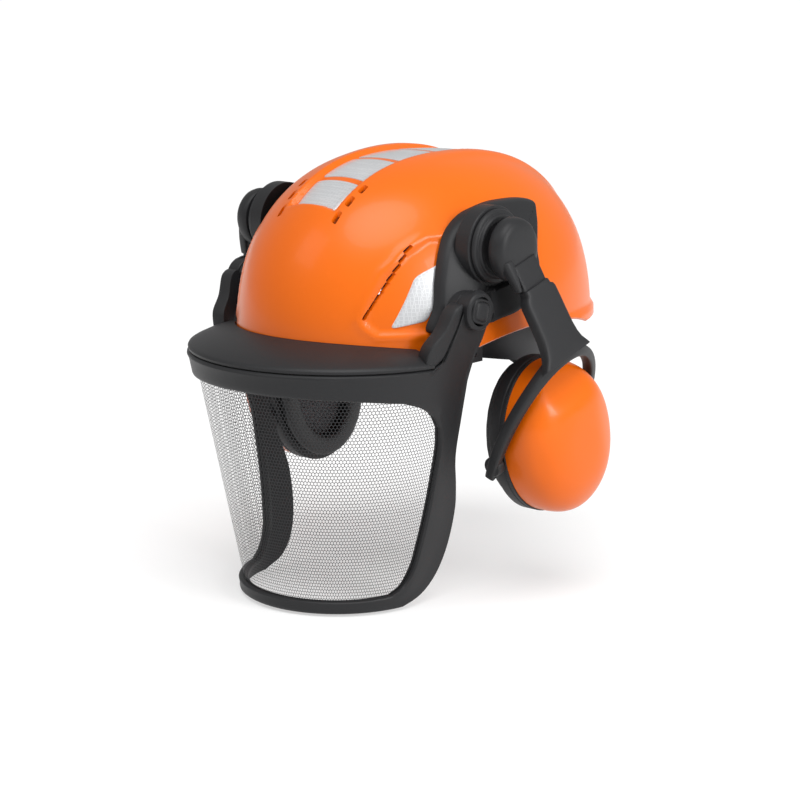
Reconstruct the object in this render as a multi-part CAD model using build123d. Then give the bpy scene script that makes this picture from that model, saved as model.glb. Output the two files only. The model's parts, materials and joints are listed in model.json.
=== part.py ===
"""Forestry hard hat: shell, head harness, swing-up mesh visor and ear muffs on folding arms.

Frame: millimetres, +Z up, the wearer faces -Y and the wearer's left is +X. The origin is
the centre of the head opening, on the plane of the shell's rim.
"""
from build123d import *
import os
from math import cos, pi, radians, sin

# ---- shell ---------------------------------------------------------------------------
SHELL_HALF_WIDTH = 104.0
SHELL_FRONT = 141.0
SHELL_BACK = 140.0
SHELL_RISE = 132.0
SHELL_BASE_Z = -15.0
SHELL_POWER = 2.5
SHELL_WALL = 2.8
RIM_Z = -2.0
EAR_ARCH_HALF = 60.0
EAR_ARCH_RISE = 9.0
CHANNEL_DEPTH = 4.2
CHANNEL_FRONT = (-104.0, 20.0)
CHANNEL_REAR = (92.0, 29.0)
VENT_SIZE = (9.0, 2.4)
REFLECTOR_THICK = 0.5

# ---- adapters, turrets and visor pivots ----------------------------------------------
ADAPTER_THICK = 6.0
TURRET_Y = -38.0
TURRET_Z = 62.0
TURRET_R = 24.0
SEAT_X = 99.0
SPIGOT_R = 9.0
SPIGOT_END_X = 94.2
PIVOT_Y = -64.0
PIVOT_Z = 24.0
BOSS_FACE_X = 99.0
GAP = 0.3
RUNNING = 0.05

# ---- visor ---------------------------------------------------------------------------
VISOR_CENTRE_Y = -80.0
VISOR_R = 93.0
VISOR_R_Z = -25.0
VISOR_TAPER = 0.2
FRAME_THICK = 3.5
SCREEN_THICK = 0.5
CLAMP_THICK = 2.5
BROW_R = 100.5
WING_LIFT = 8.3
BUTTON_R = 9.0
BUTTON_X = 107.5
BUTTON_POCKET = 2.3

# ---- muff arms and cups, measured down the arm from the turret's centre --------------
LEAN = 17.5
SPLAY = 18.0
STRUT_X = 117.0
KNUCKLE_X = 111.0
HEAD_R = 20.0
PIN_R = 2.5
SPRING_POCKET_R = 4.8
CUP_DROP = 135.0
CUP_HALF_WIDTH = 43.0
CUP_HALF_HEIGHT = 53.0
CUSHION_X = 91.0
BASE_X = 99.0
COVER_X = 111.0
COVER_TOP_X = 145.0
COVER_POWER = 3.0
COVER_WALL = 2.5
TILT_X = 105.0
ARCH_TOP_X = 138.5
SLEEVE_TOP = 26.0
TONGUE_END = 58.0

# ---- harness -------------------------------------------------------------------------
BAND_HALF_WIDTH = 83.0
BAND_HALF_LENGTH = 103.0
BAND_THICK = 2.0
BAND_HEIGHT = 28.0
BAND_MID_Z = -6.0
BAND_TILT = -10.6
BAND_JOIN_Y = 60.0
STRAP_RISE = 88.0
STRAP_WIDTH = 19.0
STRAP_THICK = 1.2
STRAP_LIFT = 2.9
CLIP_TOP_Z = 24.0
ANCHOR_HOLE_R = 2.5
ANCHOR_Y = 47.0
ANCHOR_HOLE_Z = -8.0
ANCHOR_THICK = 2.5

# ---- size adjuster at the nape -------------------------------------------------------
ADJUSTER_Y = 108.0
ADJUSTER_Z = -33.0
MODULE = 1.0
PINION_TEETH = 12
PINION_R = MODULE * PINION_TEETH / 2
TOOTH_WIDTH = 2.4
HOUSING_HALF_LENGTH = 34.0
HOUSING_HALF_HEIGHT = 13.0
KNOB_R = 19.0

BIG = 400.0

# ---- outlines as (y, z) points, seen from the wearer's left --------------------------
ADAPTER_OUTLINE = [(19.6, 84), (-13, 87), (-36, 84), (-48, 80), (-60, 72), (-69, 60), (-76, 43),
                   (-80, 25), (-85, 11), (-60, 8), (-41, 14), (-18, 20), (-2, 35), (4, 44),
                   (4, 55), (15.7, 75)]
REFLECTOR_OUTLINE = [(-60, 56), (-81, 47), (-86, 44), (-103, 13), (-83, 17)]
FRAME_OUTLINE = [(-200, -10), (-95, -10), (-86, -4), (-80.5, 8), (-77, 20), (-74, 32), (-64, 37.5),
                 (-53, 33), (-49, 22), (-52, 8), (-59, -8), (-61, -20), (-60, -73), (-52, -98),
                 (-50, -112), (-53, -140), (-60, -158), (-71, -170), (-88, -175), (-200, -175)]
WINDOW_OUTLINE = [(-200, -25), (-112, -31), (-90, -41), (-80, -52), (-77, -66), (-78, -110),
                  (-83, -148), (-92, -162), (-110, -166), (-200, -166)]
WING_OUTLINE = [(-100, -10), (-95.5, -9.5), (-86.8, -3.4), (-81.3, 8), (-78, 20), (-77.5, 30),
                (-84, 28), (-91, 14), (-100, 3)]

LEANED = Pos(0, TURRET_Y, TURRET_Z) * Rot(LEAN, 0, 0)


# ---- helpers -------------------------------------------------------------------------
def save(name, shape):
    """Write one sub-part as parts/NAME.step."""
    export_step(shape, f"parts/{name}.step")


def save_pair(name, shape):
    """Write a left-hand sub-part and its mirror image."""
    save(f"{name}_left", shape)
    save(f"{name}_right", mirror(shape, about=Plane.YZ))


def rod_x(radius, x0, x1, y=0.0, z=0.0):
    """A cylinder along X from x0 to x1."""
    return Pos((x0 + x1) / 2, y, z) * Rot(0, 90, 0) * Cylinder(radius, x1 - x0)


def rod_y(radius, y0, y1, x=0.0, z=0.0):
    """A cylinder along Y from y0 to y1."""
    return Pos(x, (y0 + y1) / 2, z) * Rot(90, 0, 0) * Cylinder(radius, y1 - y0)


def block(x0, x1, y0, y1, z0, z1):
    """A box between two corners."""
    centre = Pos((x0 + x1) / 2, (y0 + y1) / 2, (z0 + z1) / 2)
    return centre * Box(x1 - x0, y1 - y0, z1 - z0)


def side_prism(outline, x0, x1):
    """A prism along X whose outline is a list of (y, z) points."""
    face = make_face(Polyline(*[(y, z) for y, z in outline], close=True))
    return Pos(x0, 0, 0) * extrude(Plane.YZ * face, x1 - x0)


def oval_prism(half_x, half_y, z0, z1):
    """An upright elliptical prism."""
    return Pos(0, 0, z0) * extrude(Ellipse(half_x, half_y), z1 - z0)


# ---- rounded forms -------------------------------------------------------------------
def turned_dome(radius, rise, power):
    """A round dome on z = 0 whose profile is a superellipse."""
    angles = [radians(a) for a in (0, 3, 9, 18, 28, 38, 48, 58, 68, 78, 86)]
    points = [(radius * cos(a) ** (2 / power), rise * sin(a) ** (2 / power)) for a in angles]
    points.append((0, rise))
    curve = Spline(*points, tangents=[(0, 1), (-1, 0)])
    profile = make_face(curve + Polyline((0, rise), (0, 0), (radius, 0)))
    return revolve(Plane.XZ * profile, Axis.Z, 360)


def dome(offset):
    """The shell's outer form grown by an offset, cut off flat at SHELL_BASE_Z."""
    half_width = SHELL_HALF_WIDTH + offset
    turned = turned_dome(half_width, SHELL_RISE + offset, SHELL_POWER)
    half = Box(BIG, BIG, BIG)
    front = scale(turned & Pos(0, -BIG / 2, 0) * half, by=(1, (SHELL_FRONT + offset) / half_width, 1))
    back = scale(turned & Pos(0, BIG / 2, 0) * half, by=(1, (SHELL_BACK + offset) / half_width, 1))
    return Pos(0, 0, SHELL_BASE_Z) * (front + back)


def channel_prism(margin):
    """The strip over the crown that is recessed, wider towards the back."""
    y0, w0 = CHANNEL_FRONT
    y1, w1 = CHANNEL_REAR
    outline = [(-w0 - margin, y0 - margin), (w0 + margin, y0 - margin),
               (w1 + margin, y1 + margin), (-w1 - margin, y1 + margin)]
    return extrude(make_face(Polyline(*outline, close=True)), BIG)


def vent_cutters():
    """Slots through the crown's front and both sides, as a list of prisms."""
    cutters = []
    for side in (-1, 1):
        for step in range(8):
            y = -86.0 - 4.0 * step
            z = 62.0 - 5.7 * step
            slot = Rot(38 + 3 * step, 0, 0) * Box(40, VENT_SIZE[0], VENT_SIZE[1])
            cutters.append(Pos(side * 70, y, z) * slot)
        for step in range(3):
            slot = Pos(side * (24.5 + 1.2 * step), -106 + 11 * step, 85) * Box(4, 7, 50)
            cutters.append(slot)
        for step in range(4):
            slot = Pos(side * (14 + 14 * step), 132 - 7 * step, 40) * Box(7, 60, 3)
            cutters.append(slot)
    return cutters


def shell(outer, inner):
    """The moulded shell with its recessed crown channel, vents, ear arches and rear lip."""
    body = outer - (channel_prism(0) & (outer - dome(-CHANNEL_DEPTH)))
    hollow = inner - (channel_prism(SHELL_WALL) & (inner - dome(-SHELL_WALL - CHANNEL_DEPTH)))
    lip = (dome(2.5) - outer) & block(-BIG, BIG, 25, BIG, RIM_Z, RIM_Z + 6)
    body = body - hollow - block(-BIG, BIG, -BIG, BIG, -BIG, RIM_Z)
    body = body + lip
    arch_r = (EAR_ARCH_HALF ** 2 + EAR_ARCH_RISE ** 2) / (2 * EAR_ARCH_RISE)
    body = body - rod_x(arch_r, -BIG, BIG, 10, RIM_Z + EAR_ARCH_RISE - arch_r)
    for cutter in vent_cutters():
        body = body - cutter
    return body


def crown_reflectors():
    """Four retroreflective patches along the floor of the crown channel."""
    layer = dome(REFLECTOR_THICK - CHANNEL_DEPTH) - dome(-CHANNEL_DEPTH)
    patches = [((-102, 17), (-78, 19)), ((-73, 19.5), (-42, 21.5)),
               ((-37, 22), (-1, 24)), ((5, 24), (44, 26))]
    shapes = []
    for (y0, w0), (y1, w1) in patches:
        outline = Polyline((-w0, y0), (w0, y0), (w1, y1), (-w1, y1), close=True)
        shapes.append(layer & extrude(make_face(outline), BIG))
    return Compound(children=[part.solid() for part in shapes])


def side_reflectors(outer):
    """One retroreflective patch on each side, behind the vents."""
    layer = dome(REFLECTOR_THICK) - outer - side_prism(ADAPTER_OUTLINE, -BIG / 2, BIG / 2)
    left = layer & side_prism(REFLECTOR_OUTLINE, 30, 130)
    return Compound(children=[left.solid(), mirror(left, about=Plane.YZ).solid()])


# ---- adapters ------------------------------------------------------------------------
def adapter(outer):
    """Left plate that hugs the shell and carries the turret and the visor pivot."""
    plate = (dome(ADAPTER_THICK) - outer) & side_prism(ADAPTER_OUTLINE, 30, 130)
    seat = rod_x(TURRET_R + 2, 60, SEAT_X, TURRET_Y, TURRET_Z) - outer
    boss = rod_x(12, 60, BOSS_FACE_X, PIVOT_Y, PIVOT_Z) - outer
    plate = plate - rod_x(TURRET_R + 1.5, SEAT_X, 130, TURRET_Y, TURRET_Z)
    plate = plate - block(BOSS_FACE_X, 130, -BIG, TURRET_Y - 9, -BIG, BIG)
    body = plate + seat + boss
    body = body - rod_x(SPIGOT_R + RUNNING, SPIGOT_END_X - GAP, SEAT_X + 1, TURRET_Y, TURRET_Z)
    return body - rod_x(4, 92.5, BOSS_FACE_X + 1, PIVOT_Y, PIVOT_Z)


def pivot_pin():
    """Left pin, fixed in the adapter, that the visor swings on."""
    shaft = rod_x(4, 92.5, 103.3, PIVOT_Y, PIVOT_Z)
    return shaft + rod_x(6.5, 103.3, 104.8, PIVOT_Y, PIVOT_Z)


# ---- visor ---------------------------------------------------------------------------
def open_d(radius, centre, back, z):
    """Flat outline at one height: a half circle at the front with straight sides to the back."""
    arc = ThreePointArc((-radius, centre), (0, centre - radius), (radius, centre))
    rear = Polyline((radius, centre), (radius, back), (-radius, back), (-radius, centre))
    return Pos(0, 0, z) * Wire(arc.edges() + rear.edges())


def visor_section(offset, z, back):
    """Outline of the visor's cone at one height: a half circle with straight sides."""
    radius = VISOR_R + VISOR_TAPER * (z - VISOR_R_Z) + offset
    return open_d(radius, VISOR_CENTRE_Y, back, z)


def visor_cone(offset, back=-30.0):
    """The solid inside the visor's surface grown by an offset."""
    low = visor_section(offset, -190, back)
    return Solid.make_loft([low, visor_section(offset, 60, back)], ruled=True)


def visor_layer(low, high):
    """The visor's wall between two offsets, open at the back."""
    return visor_cone(high) - visor_cone(low, back=0.0)


def widened(outline, amount):
    """The (y, z) outline grown by an amount, as a prism across the whole visor."""
    face = make_face(Polyline(*[(y, z) for y, z in outline], close=True))
    grown = offset(face, amount, kind=Kind.INTERSECTION)
    return Pos(-BIG / 2, 0, 0) * extrude(Plane.YZ * grown, BIG)


def visor_frame():
    """Rim of the visor with its two arms and pivot bosses."""
    rim = visor_layer(0, FRAME_THICK) & side_prism(FRAME_OUTLINE, -BIG / 2, BIG / 2)
    rim = rim - side_prism(WINDOW_OUTLINE, -BIG / 2, BIG / 2)
    for side in (-1, 1):
        x0, x1 = sorted((side * (BOSS_FACE_X + GAP), side * 110.0))
        rim = rim + rod_x(12.5, x0, x1, PIVOT_Y, PIVOT_Z)
        x0, x1 = sorted((side * 90.0, side * 120.0))
        rim = rim - rod_x(4 + RUNNING, x0, x1, PIVOT_Y, PIVOT_Z)
        x0, x1 = sorted((side * 103.0, side * 120.0))
        rim = rim - rod_x(BUTTON_R + 0.2, x0, x1, PIVOT_Y, PIVOT_Z)
    return rim


def visor_screen():
    """The curved screen as a thin sheet, held between the frame and the clamping rim."""
    return visor_layer(-SCREEN_THICK, 0) & widened(WINDOW_OUTLINE, 5)


def visor_clamp():
    """Thin rim inside the screen that clamps its edge."""
    layer = visor_layer(-SCREEN_THICK - CLAMP_THICK, -SCREEN_THICK)
    return (layer & widened(WINDOW_OUTLINE, 5)) - side_prism(WINDOW_OUTLINE, -BIG / 2, BIG / 2)


def brow_section(radius, z):
    """Plan outline of the brow guard at one height."""
    return open_d(radius, -78, -60, z)


def brow_guard():
    """Sloping guard between the shell and the visor, with a wing up each side."""
    lip = brow_section(BROW_R, -6)
    roof = Solid.make_loft([lip, brow_section(60, 6.5)], ruled=True)
    roof = roof + Solid.make_loft([brow_section(BROW_R - 1.5, -10), lip], ruled=True)
    under = Solid.make_loft([brow_section(BROW_R - 8, -10.5), brow_section(56, 3.5)], ruled=True)
    roof = (roof - under) & block(-BIG, BIG, -BIG, -95.3, -10, 50)
    wings = visor_cone(FRAME_THICK) & side_prism(WING_OUTLINE, -BIG / 2, BIG / 2)
    wings = wings - visor_cone(-9, back=0.0)
    return (roof - dome(1.2)) + (wings - dome(WING_LIFT))


def visor_button():
    """Left button over the pivot, with a raised centre and a pocket for its spring."""
    disc = rod_x(BUTTON_R, BUTTON_X, BUTTON_X + 3.5, PIVOT_Y, PIVOT_Z)
    disc = disc + rod_x(5.5, BUTTON_X + 3.5, BUTTON_X + 4.3, PIVOT_Y, PIVOT_Z)
    return disc - rod_x(5.0, BUTTON_X - 1, BUTTON_X + BUTTON_POCKET, PIVOT_Y, PIVOT_Z)


def coil(radius, wire, pitch, height):
    """A helical spring along +Z from z = 0."""
    path = Edge.make_helix(pitch, height, radius)
    section = Plane(path @ 0, z_dir=path % 0) * Circle(wire / 2)
    return sweep(section, path, is_frenet=True)


def button_spring():
    """Left spring between the pivot pin's head and the button."""
    return Pos(105.1, PIVOT_Y, PIVOT_Z) * Rot(0, 90, 0) * coil(4.2, 0.5, 0.9, 2.0)


# ---- muff arms, drawn hanging straight down from the turret's centre -----------------
def turret():
    """Disc that turns in the adapter, with the knuckle lug on its face."""
    disc = rod_x(TURRET_R, SEAT_X + GAP, 103) + rod_x(SPIGOT_R, SPIGOT_END_X, SEAT_X + GAP)
    ring = rod_x(TURRET_R - 4, 103, 103.8) - rod_x(TURRET_R - 7, 102, 105)
    lug = block(102.5, KNUCKLE_X, -6, 6, -7, 7) + rod_y(7, -6, 6, KNUCKLE_X, 0)
    return disc + ring + lug - rod_y(PIN_R + RUNNING, -8, 8, KNUCKLE_X, 0)


def strut_frame():
    """Location of the strut: Z runs down the splayed arm and X points outwards."""
    return Pos(STRUT_X, 0, 0) * Rot(0, 180 - SPLAY, 0) * Rot(0, 0, 180)


def arm():
    """Round head over the knuckle and the tongue that the yoke's sleeve slides on."""
    head = rod_x(HEAD_R, 109, 119) + rod_x(HEAD_R - 4, 119, 121)
    barrels = rod_y(6, -15, 15, KNUCKLE_X, 0)
    tongue = strut_frame() * block(-2.5, 2.5, -11, 11, 10, TONGUE_END)
    body = head + barrels + tongue
    body = body - block(100, 118.5, -6.4, 6.4, -11.5, 11.5)
    body = body - rod_y(SPRING_POCKET_R, 6.0, 13.0, KNUCKLE_X, 0)
    return body - rod_y(PIN_R, -16, 16, KNUCKLE_X, 0)


def knuckle_pin():
    """Pin through the arm's head and the turret's lug."""
    return rod_y(PIN_R, -15, 15, KNUCKLE_X, 0)


def arch_section(angle):
    """Section of the yoke's arch at an angle from the top, square to its path."""
    def point(a):
        x = ARCH_TOP_X - (ARCH_TOP_X - TILT_X) * (1 - cos(a))
        return Vector(x, (CUP_HALF_WIDTH + 6.5) * sin(a), -CUP_DROP + (CUP_HALF_HEIGHT + 8) * cos(a))
    here = point(angle)
    tangent = (point(angle + 0.01) - point(angle - 0.01)).normalized()
    outward = Vector(0, sin(angle), cos(angle))
    across = (outward - tangent * outward.dot(tangent)).normalized()
    return (Plane(here, x_dir=across, z_dir=tangent) * Rectangle(7, 8)).face().outer_wire()


def yoke():
    """Flat sleeve round the tongue and the arch that reaches round the cup to its pins."""
    slot = strut_frame() * block(-2.7, 2.7, -11.2, 11.2, SLEEVE_TOP - 1, TONGUE_END + 0.5)
    sleeve = strut_frame() * block(-4.5, 4.5, -15.5, 15.5, SLEEVE_TOP, 76) - slot
    angles = [radians(-90 + 15 * step) for step in range(13)]
    arch = Solid.make_loft([arch_section(a) for a in angles])
    body = sleeve + arch
    for side in (-1, 1):
        y0, y1 = sorted((side * 44.8, side * 51.0))
        body = body + rod_y(6, y0, y1, TILT_X, -CUP_DROP)
    return body - rod_y(PIN_R, -60, 60, TILT_X, -CUP_DROP)


def fork_pins():
    """The two short pins that the cup tilts on."""
    pins = [rod_y(PIN_R, 38.5, 51, TILT_X, -CUP_DROP), rod_y(PIN_R, -51, -38.5, TILT_X, -CUP_DROP)]
    return Compound(children=[pin.solid() for pin in pins])


def cup_prism(x0, x1, grow=0.0):
    """Oval prism of the cup's outline along X, grown by an amount."""
    oval = Ellipse(CUP_HALF_WIDTH + grow, CUP_HALF_HEIGHT + grow)
    return Pos(x0, 0, -CUP_DROP) * extrude(Plane.YZ * oval, x1 - x0)


def cup_base():
    """Black ring that the cushion, the foam and the outer cover sit on."""
    body = cup_prism(BASE_X, COVER_X, 0.5)
    body = body - cup_prism(BASE_X + 3, COVER_X + 1, -5) - cup_prism(BASE_X - 1, BASE_X + 4, -17)
    body = body + rod_y(6, -44.5, 44.5, TILT_X, -CUP_DROP)
    body = body - cup_prism(BASE_X - 8, COVER_X + 8, -5)
    body = body + (cup_prism(BASE_X, BASE_X + 3, -4) - cup_prism(BASE_X - 1, BASE_X + 4, -17))
    return body - rod_y(PIN_R + RUNNING, -60, 60, TILT_X, -CUP_DROP)


def cup_dome(shrink):
    """The outer cover's rounded form, smaller inside by the wall."""
    half_width = CUP_HALF_WIDTH - shrink
    turned = turned_dome(half_width, COVER_TOP_X - COVER_X - shrink, COVER_POWER)
    oval = scale(turned, by=(1, (CUP_HALF_HEIGHT - shrink) / half_width, 1))
    return Pos(COVER_X, 0, -CUP_DROP) * Plane.YZ.location * oval


def cup_cover():
    """Hollow outer cover of the ear cup."""
    return cup_dome(0) - cup_dome(COVER_WALL)


def foam_insert():
    """Sound-absorbing foam inside the cup."""
    return cup_prism(BASE_X + 3.2, 128, -9)


def cushion():
    """Soft sealing ring that rests against the head."""
    ring = cup_prism(CUSHION_X, BASE_X, -3) - cup_prism(CUSHION_X - 1, BASE_X + 1, -18)
    return fillet(ring.edges().group_by(Axis.X)[0], 3.5)


def torsion_spring():
    """Coil round the knuckle pin that holds the arm's fold."""
    return Pos(KNUCKLE_X, 6.9, 0) * Rot(-90, 0, 0) * coil(4.0, 0.8, 1.3, 5.2)


# ---- harness -------------------------------------------------------------------------
def band_slab(height):
    """Slanted slab that the headband lies in."""
    return Pos(0, 0, BAND_MID_Z) * Rot(BAND_TILT, 0, 0) * Box(BIG, BIG, height)


def band_ring(outset, thick):
    """Upright elliptical ring whose outer face is the headband's face grown by outset."""
    outer = oval_prism(BAND_HALF_WIDTH + outset, BAND_HALF_LENGTH + outset, -80, 80)
    inner_x = BAND_HALF_WIDTH + outset - thick
    inner_y = BAND_HALF_LENGTH + outset - thick
    return outer - oval_prism(inner_x, inner_y, -90, 90)


def headband():
    """Front and sides of the band round the head."""
    ring = band_ring(0, BAND_THICK) & band_slab(BAND_HEIGHT)
    return ring - block(-BIG, BIG, BAND_JOIN_Y, BIG, -BIG, BIG)


def sweatband():
    """Soft strip inside the front of the headband."""
    ring = band_ring(-BAND_THICK, 3) & band_slab(BAND_HEIGHT - 2)
    return ring - block(-BIG, BIG, 0, BIG, -BIG, BIG)


def nape_cradle():
    """Rear of the band, with the flat face that the size adjuster is fixed to."""
    ring = band_ring(0, BAND_THICK) & band_slab(BAND_HEIGHT)
    ring = ring & block(-BIG, BIG, BAND_JOIN_Y, BIG, -BIG, BIG)
    pad = block(-HOUSING_HALF_LENGTH, HOUSING_HALF_LENGTH, 80, ADJUSTER_Y - 4.5,
                ADJUSTER_Z - HOUSING_HALF_HEIGHT, ADJUSTER_Z + HOUSING_HALF_HEIGHT)
    inner = oval_prism(BAND_HALF_WIDTH - BAND_THICK, BAND_HALF_LENGTH - BAND_THICK, -90, 90)
    return ring + (pad - inner)


def nape_pad():
    """Soft pad inside the nape cradle."""
    ring = band_ring(-BAND_THICK, 4) & band_slab(BAND_HEIGHT - 4)
    return ring & block(-52, 52, BAND_JOIN_Y, BIG, -BIG, BIG)


def head_form(offset):
    """Upper half of the form that the crown straps lie on."""
    ball = Sphere(1)
    grown = scale(ball, by=(BAND_HALF_WIDTH + offset, BAND_HALF_LENGTH + offset, STRAP_RISE + offset))
    return grown & block(-BIG, BIG, -BIG, BIG, CLIP_TOP_Z, BIG)


def crown_strap(turn, lift):
    """One webbing strap over the head, turned about Z and lifted off the other strap."""
    layer = head_form(lift + STRAP_THICK) - head_form(lift)
    return layer & Rot(0, 0, turn) * Box(STRAP_WIDTH, BIG, BIG)


def crown_pad():
    """Round pad under the crossing of the straps."""
    disc = Pos(0, 0, STRAP_RISE) * Cylinder(26, 30)
    return (head_form(STRAP_LIFT - 0.2) - head_form(STRAP_LIFT - 4.5)) & disc


def clip_places():
    """Directions of the four strap ends, in degrees about Z."""
    return (40, 140, 220, 320)


def harness_clips(inner):
    """Four clips that hang the straps and the headband inside the shell."""
    clear = oval_prism(BAND_HALF_WIDTH, BAND_HALF_LENGTH, -90, 90)
    shapes = []
    for turn in clip_places():
        slab = Rot(0, 0, turn - 90) * block(-11, 11, 0, 170, 0, CLIP_TOP_Z)
        shapes.append((slab & inner) - clear)
    return Compound(children=[part.solid() for part in shapes])


def chin_anchors(inner):
    """Four eyelet tabs inside the rim for a chin strap."""
    shapes = []
    for side in (-1, 1):
        for y in (-ANCHOR_Y, ANCHOR_Y):
            wall_x = (SHELL_HALF_WIDTH - SHELL_WALL) * (1 - (y / (SHELL_FRONT - SHELL_WALL)) ** 2) ** 0.5
            x1 = wall_x - 4.6
            x0 = x1 - ANCHOR_THICK
            tab = block(x0, x1, y - 8, y + 8, -14, 12)
            root = block(x0, BIG, y - 8, y + 8, 4, 12) & inner
            eye = tab + root - rod_x(ANCHOR_HOLE_R, x0 - 1, x1 + 1, y, ANCHOR_HOLE_Z)
            shapes.append(eye if side > 0 else mirror(eye, about=Plane.YZ))
    return Compound(children=[part.solid() for part in shapes])


# ---- size adjuster -------------------------------------------------------------------
def tooth_prism(root_half, tip_half, height):
    """One straight-sided tooth standing on z = 0, centred on X = 0, along Y."""
    corners = [(-root_half, -0.5), (root_half, -0.5), (tip_half, height), (-tip_half, height)]
    outline = make_face(Polyline(*corners, close=True))
    return extrude(Plane.XZ * outline, TOOTH_WIDTH / 2, both=True)


def pinion():
    """Small gear behind the knob, with a stub in the housing and a hub in the cover."""
    root_r = PINION_R - 1.25 * MODULE
    gear = rod_y(root_r, -TOOTH_WIDTH / 2, TOOTH_WIDTH / 2)
    tooth = Pos(0, 0, root_r) * tooth_prism(0.95, 0.42, 2.0 * MODULE)
    for step in range(PINION_TEETH):
        gear = gear + Rot(0, 360 / PINION_TEETH * step, 0) * tooth
    gear = gear + rod_y(3, -3.5, 0) + rod_y(4, 0, 3.8)
    gear = gear - rod_y(1.2, -1, 5)
    return Pos(0, ADJUSTER_Y, ADJUSTER_Z) * gear


def rack_top():
    """Upper toothed strap, which runs out to the wearer's left."""
    root_z = PINION_R + 1.25 * MODULE
    bar = block(-14, 52, -TOOTH_WIDTH / 2, TOOTH_WIDTH / 2, root_z, root_z + 3)
    pitch = pi * MODULE
    tooth = Rot(180, 0, 0) * tooth_prism(0.95, 0.42, 1.9 * MODULE)
    for step in range(-4, 4):
        bar = bar + Pos(pitch * (step + 0.5), 0, root_z) * tooth
    return Pos(0, ADJUSTER_Y, ADJUSTER_Z) * bar


def rack_bottom(top):
    """Lower toothed strap, the upper one turned half a turn about the pinion's axis."""
    centre = Pos(0, ADJUSTER_Y, ADJUSTER_Z)
    return centre * Rot(0, 180, 0) * centre.inverse() * top


def ratchet_housing():
    """Tray that the racks slide in, open at the back and at both ends."""
    length = HOUSING_HALF_LENGTH
    height = HOUSING_HALF_HEIGHT
    tray = block(-length, length, -4.5, 1.5, -height, height)
    tray = tray - block(-BIG, BIG, -1.5, 5, 2 - height, height - 2)
    tray = tray - rod_y(3 + RUNNING, -3.8, 0)
    return Pos(0, ADJUSTER_Y, ADJUSTER_Z) * tray


def ratchet_cover():
    """Plate that closes the tray, with a hole for the pinion's hub."""
    length = HOUSING_HALF_LENGTH
    height = HOUSING_HALF_HEIGHT
    plate = block(-length, length, 1.5, 3.3, -height, height)
    return Pos(0, ADJUSTER_Y, ADJUSTER_Z) * (plate - rod_y(4 + RUNNING, 0, 5))


def ratchet_knob():
    """Fluted knob on the pinion's hub."""
    knob = rod_y(KNOB_R, 3.8, 15)
    for step in range(18):
        flute = Rot(0, 20 * step, 0) * rod_y(1.6, 5, 16, KNOB_R + 0.6, 0)
        knob = knob - flute
    knob = knob - rod_y(3.6, 12, 16) - rod_y(1.6, 3, 13)
    return Pos(0, ADJUSTER_Y, ADJUSTER_Z) * knob


def ratchet_screw():
    """Screw that holds the knob on the pinion."""
    screw = rod_y(1.2, -1, 12) + rod_y(3.4, 12, 14)
    return Pos(0, ADJUSTER_Y, ADJUSTER_Z) * screw


def build_root():
    """Everything that stays with the shell."""
    outer = dome(0)
    inner = dome(-SHELL_WALL)
    save("shell", shell(outer, inner))
    save("crown_reflectors", crown_reflectors())
    save("side_reflectors", side_reflectors(outer))
    save_pair("adapter", adapter(outer))
    save_pair("pivot_pin", pivot_pin())
    save("headband", headband())
    save("sweatband", sweatband())
    save("nape_cradle", nape_cradle())
    save("nape_pad", nape_pad())
    save("crown_strap_lower", crown_strap(-50, STRAP_LIFT))
    save("crown_strap_upper", crown_strap(50, STRAP_LIFT + STRAP_THICK + GAP))
    save("crown_pad", crown_pad())
    save("harness_clips", harness_clips(inner))
    save("chin_anchors", chin_anchors(inner))
    save("ratchet_housing", ratchet_housing())
    save("ratchet_cover", ratchet_cover())


def build_adjuster():
    """The knob's group and the two racks."""
    save("pinion", pinion())
    save("ratchet_knob", ratchet_knob())
    save("ratchet_screw", ratchet_screw())
    top = rack_top()
    save("rack_left", top)
    save("rack_right", rack_bottom(top))


def build_visor():
    """Everything that swings up with the visor."""
    save("visor_frame", visor_frame())
    save("visor_screen", visor_screen())
    save("visor_clamp", visor_clamp())
    save("brow_guard", brow_guard())
    save_pair("visor_button", visor_button())
    save_pair("button_spring", button_spring())


def build_muffs():
    """Both ear muffs with their turrets, arms and yokes."""
    makers = {"turret": turret, "arm": arm, "knuckle_pin": knuckle_pin, "torsion_spring": torsion_spring,
              "yoke": yoke, "fork_pins": fork_pins, "cup_base": cup_base, "cup_cover": cup_cover,
              "foam_insert": foam_insert, "cushion": cushion}
    for name, maker in makers.items():
        save_pair(name, LEANED * maker())


os.makedirs("parts", exist_ok=True)
build_root()
build_adjuster()
build_visor()
build_muffs()
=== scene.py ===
"""Scene for the forestry hard hat: modelled pieces, finishes, studio light and camera."""

import json
import logging
import math
from dataclasses import dataclass
from enum import Enum
from typing import Callable, Optional, Sequence, Union

import bmesh
import bpy
import numpy as np
from mathutils import Matrix, Vector


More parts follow.
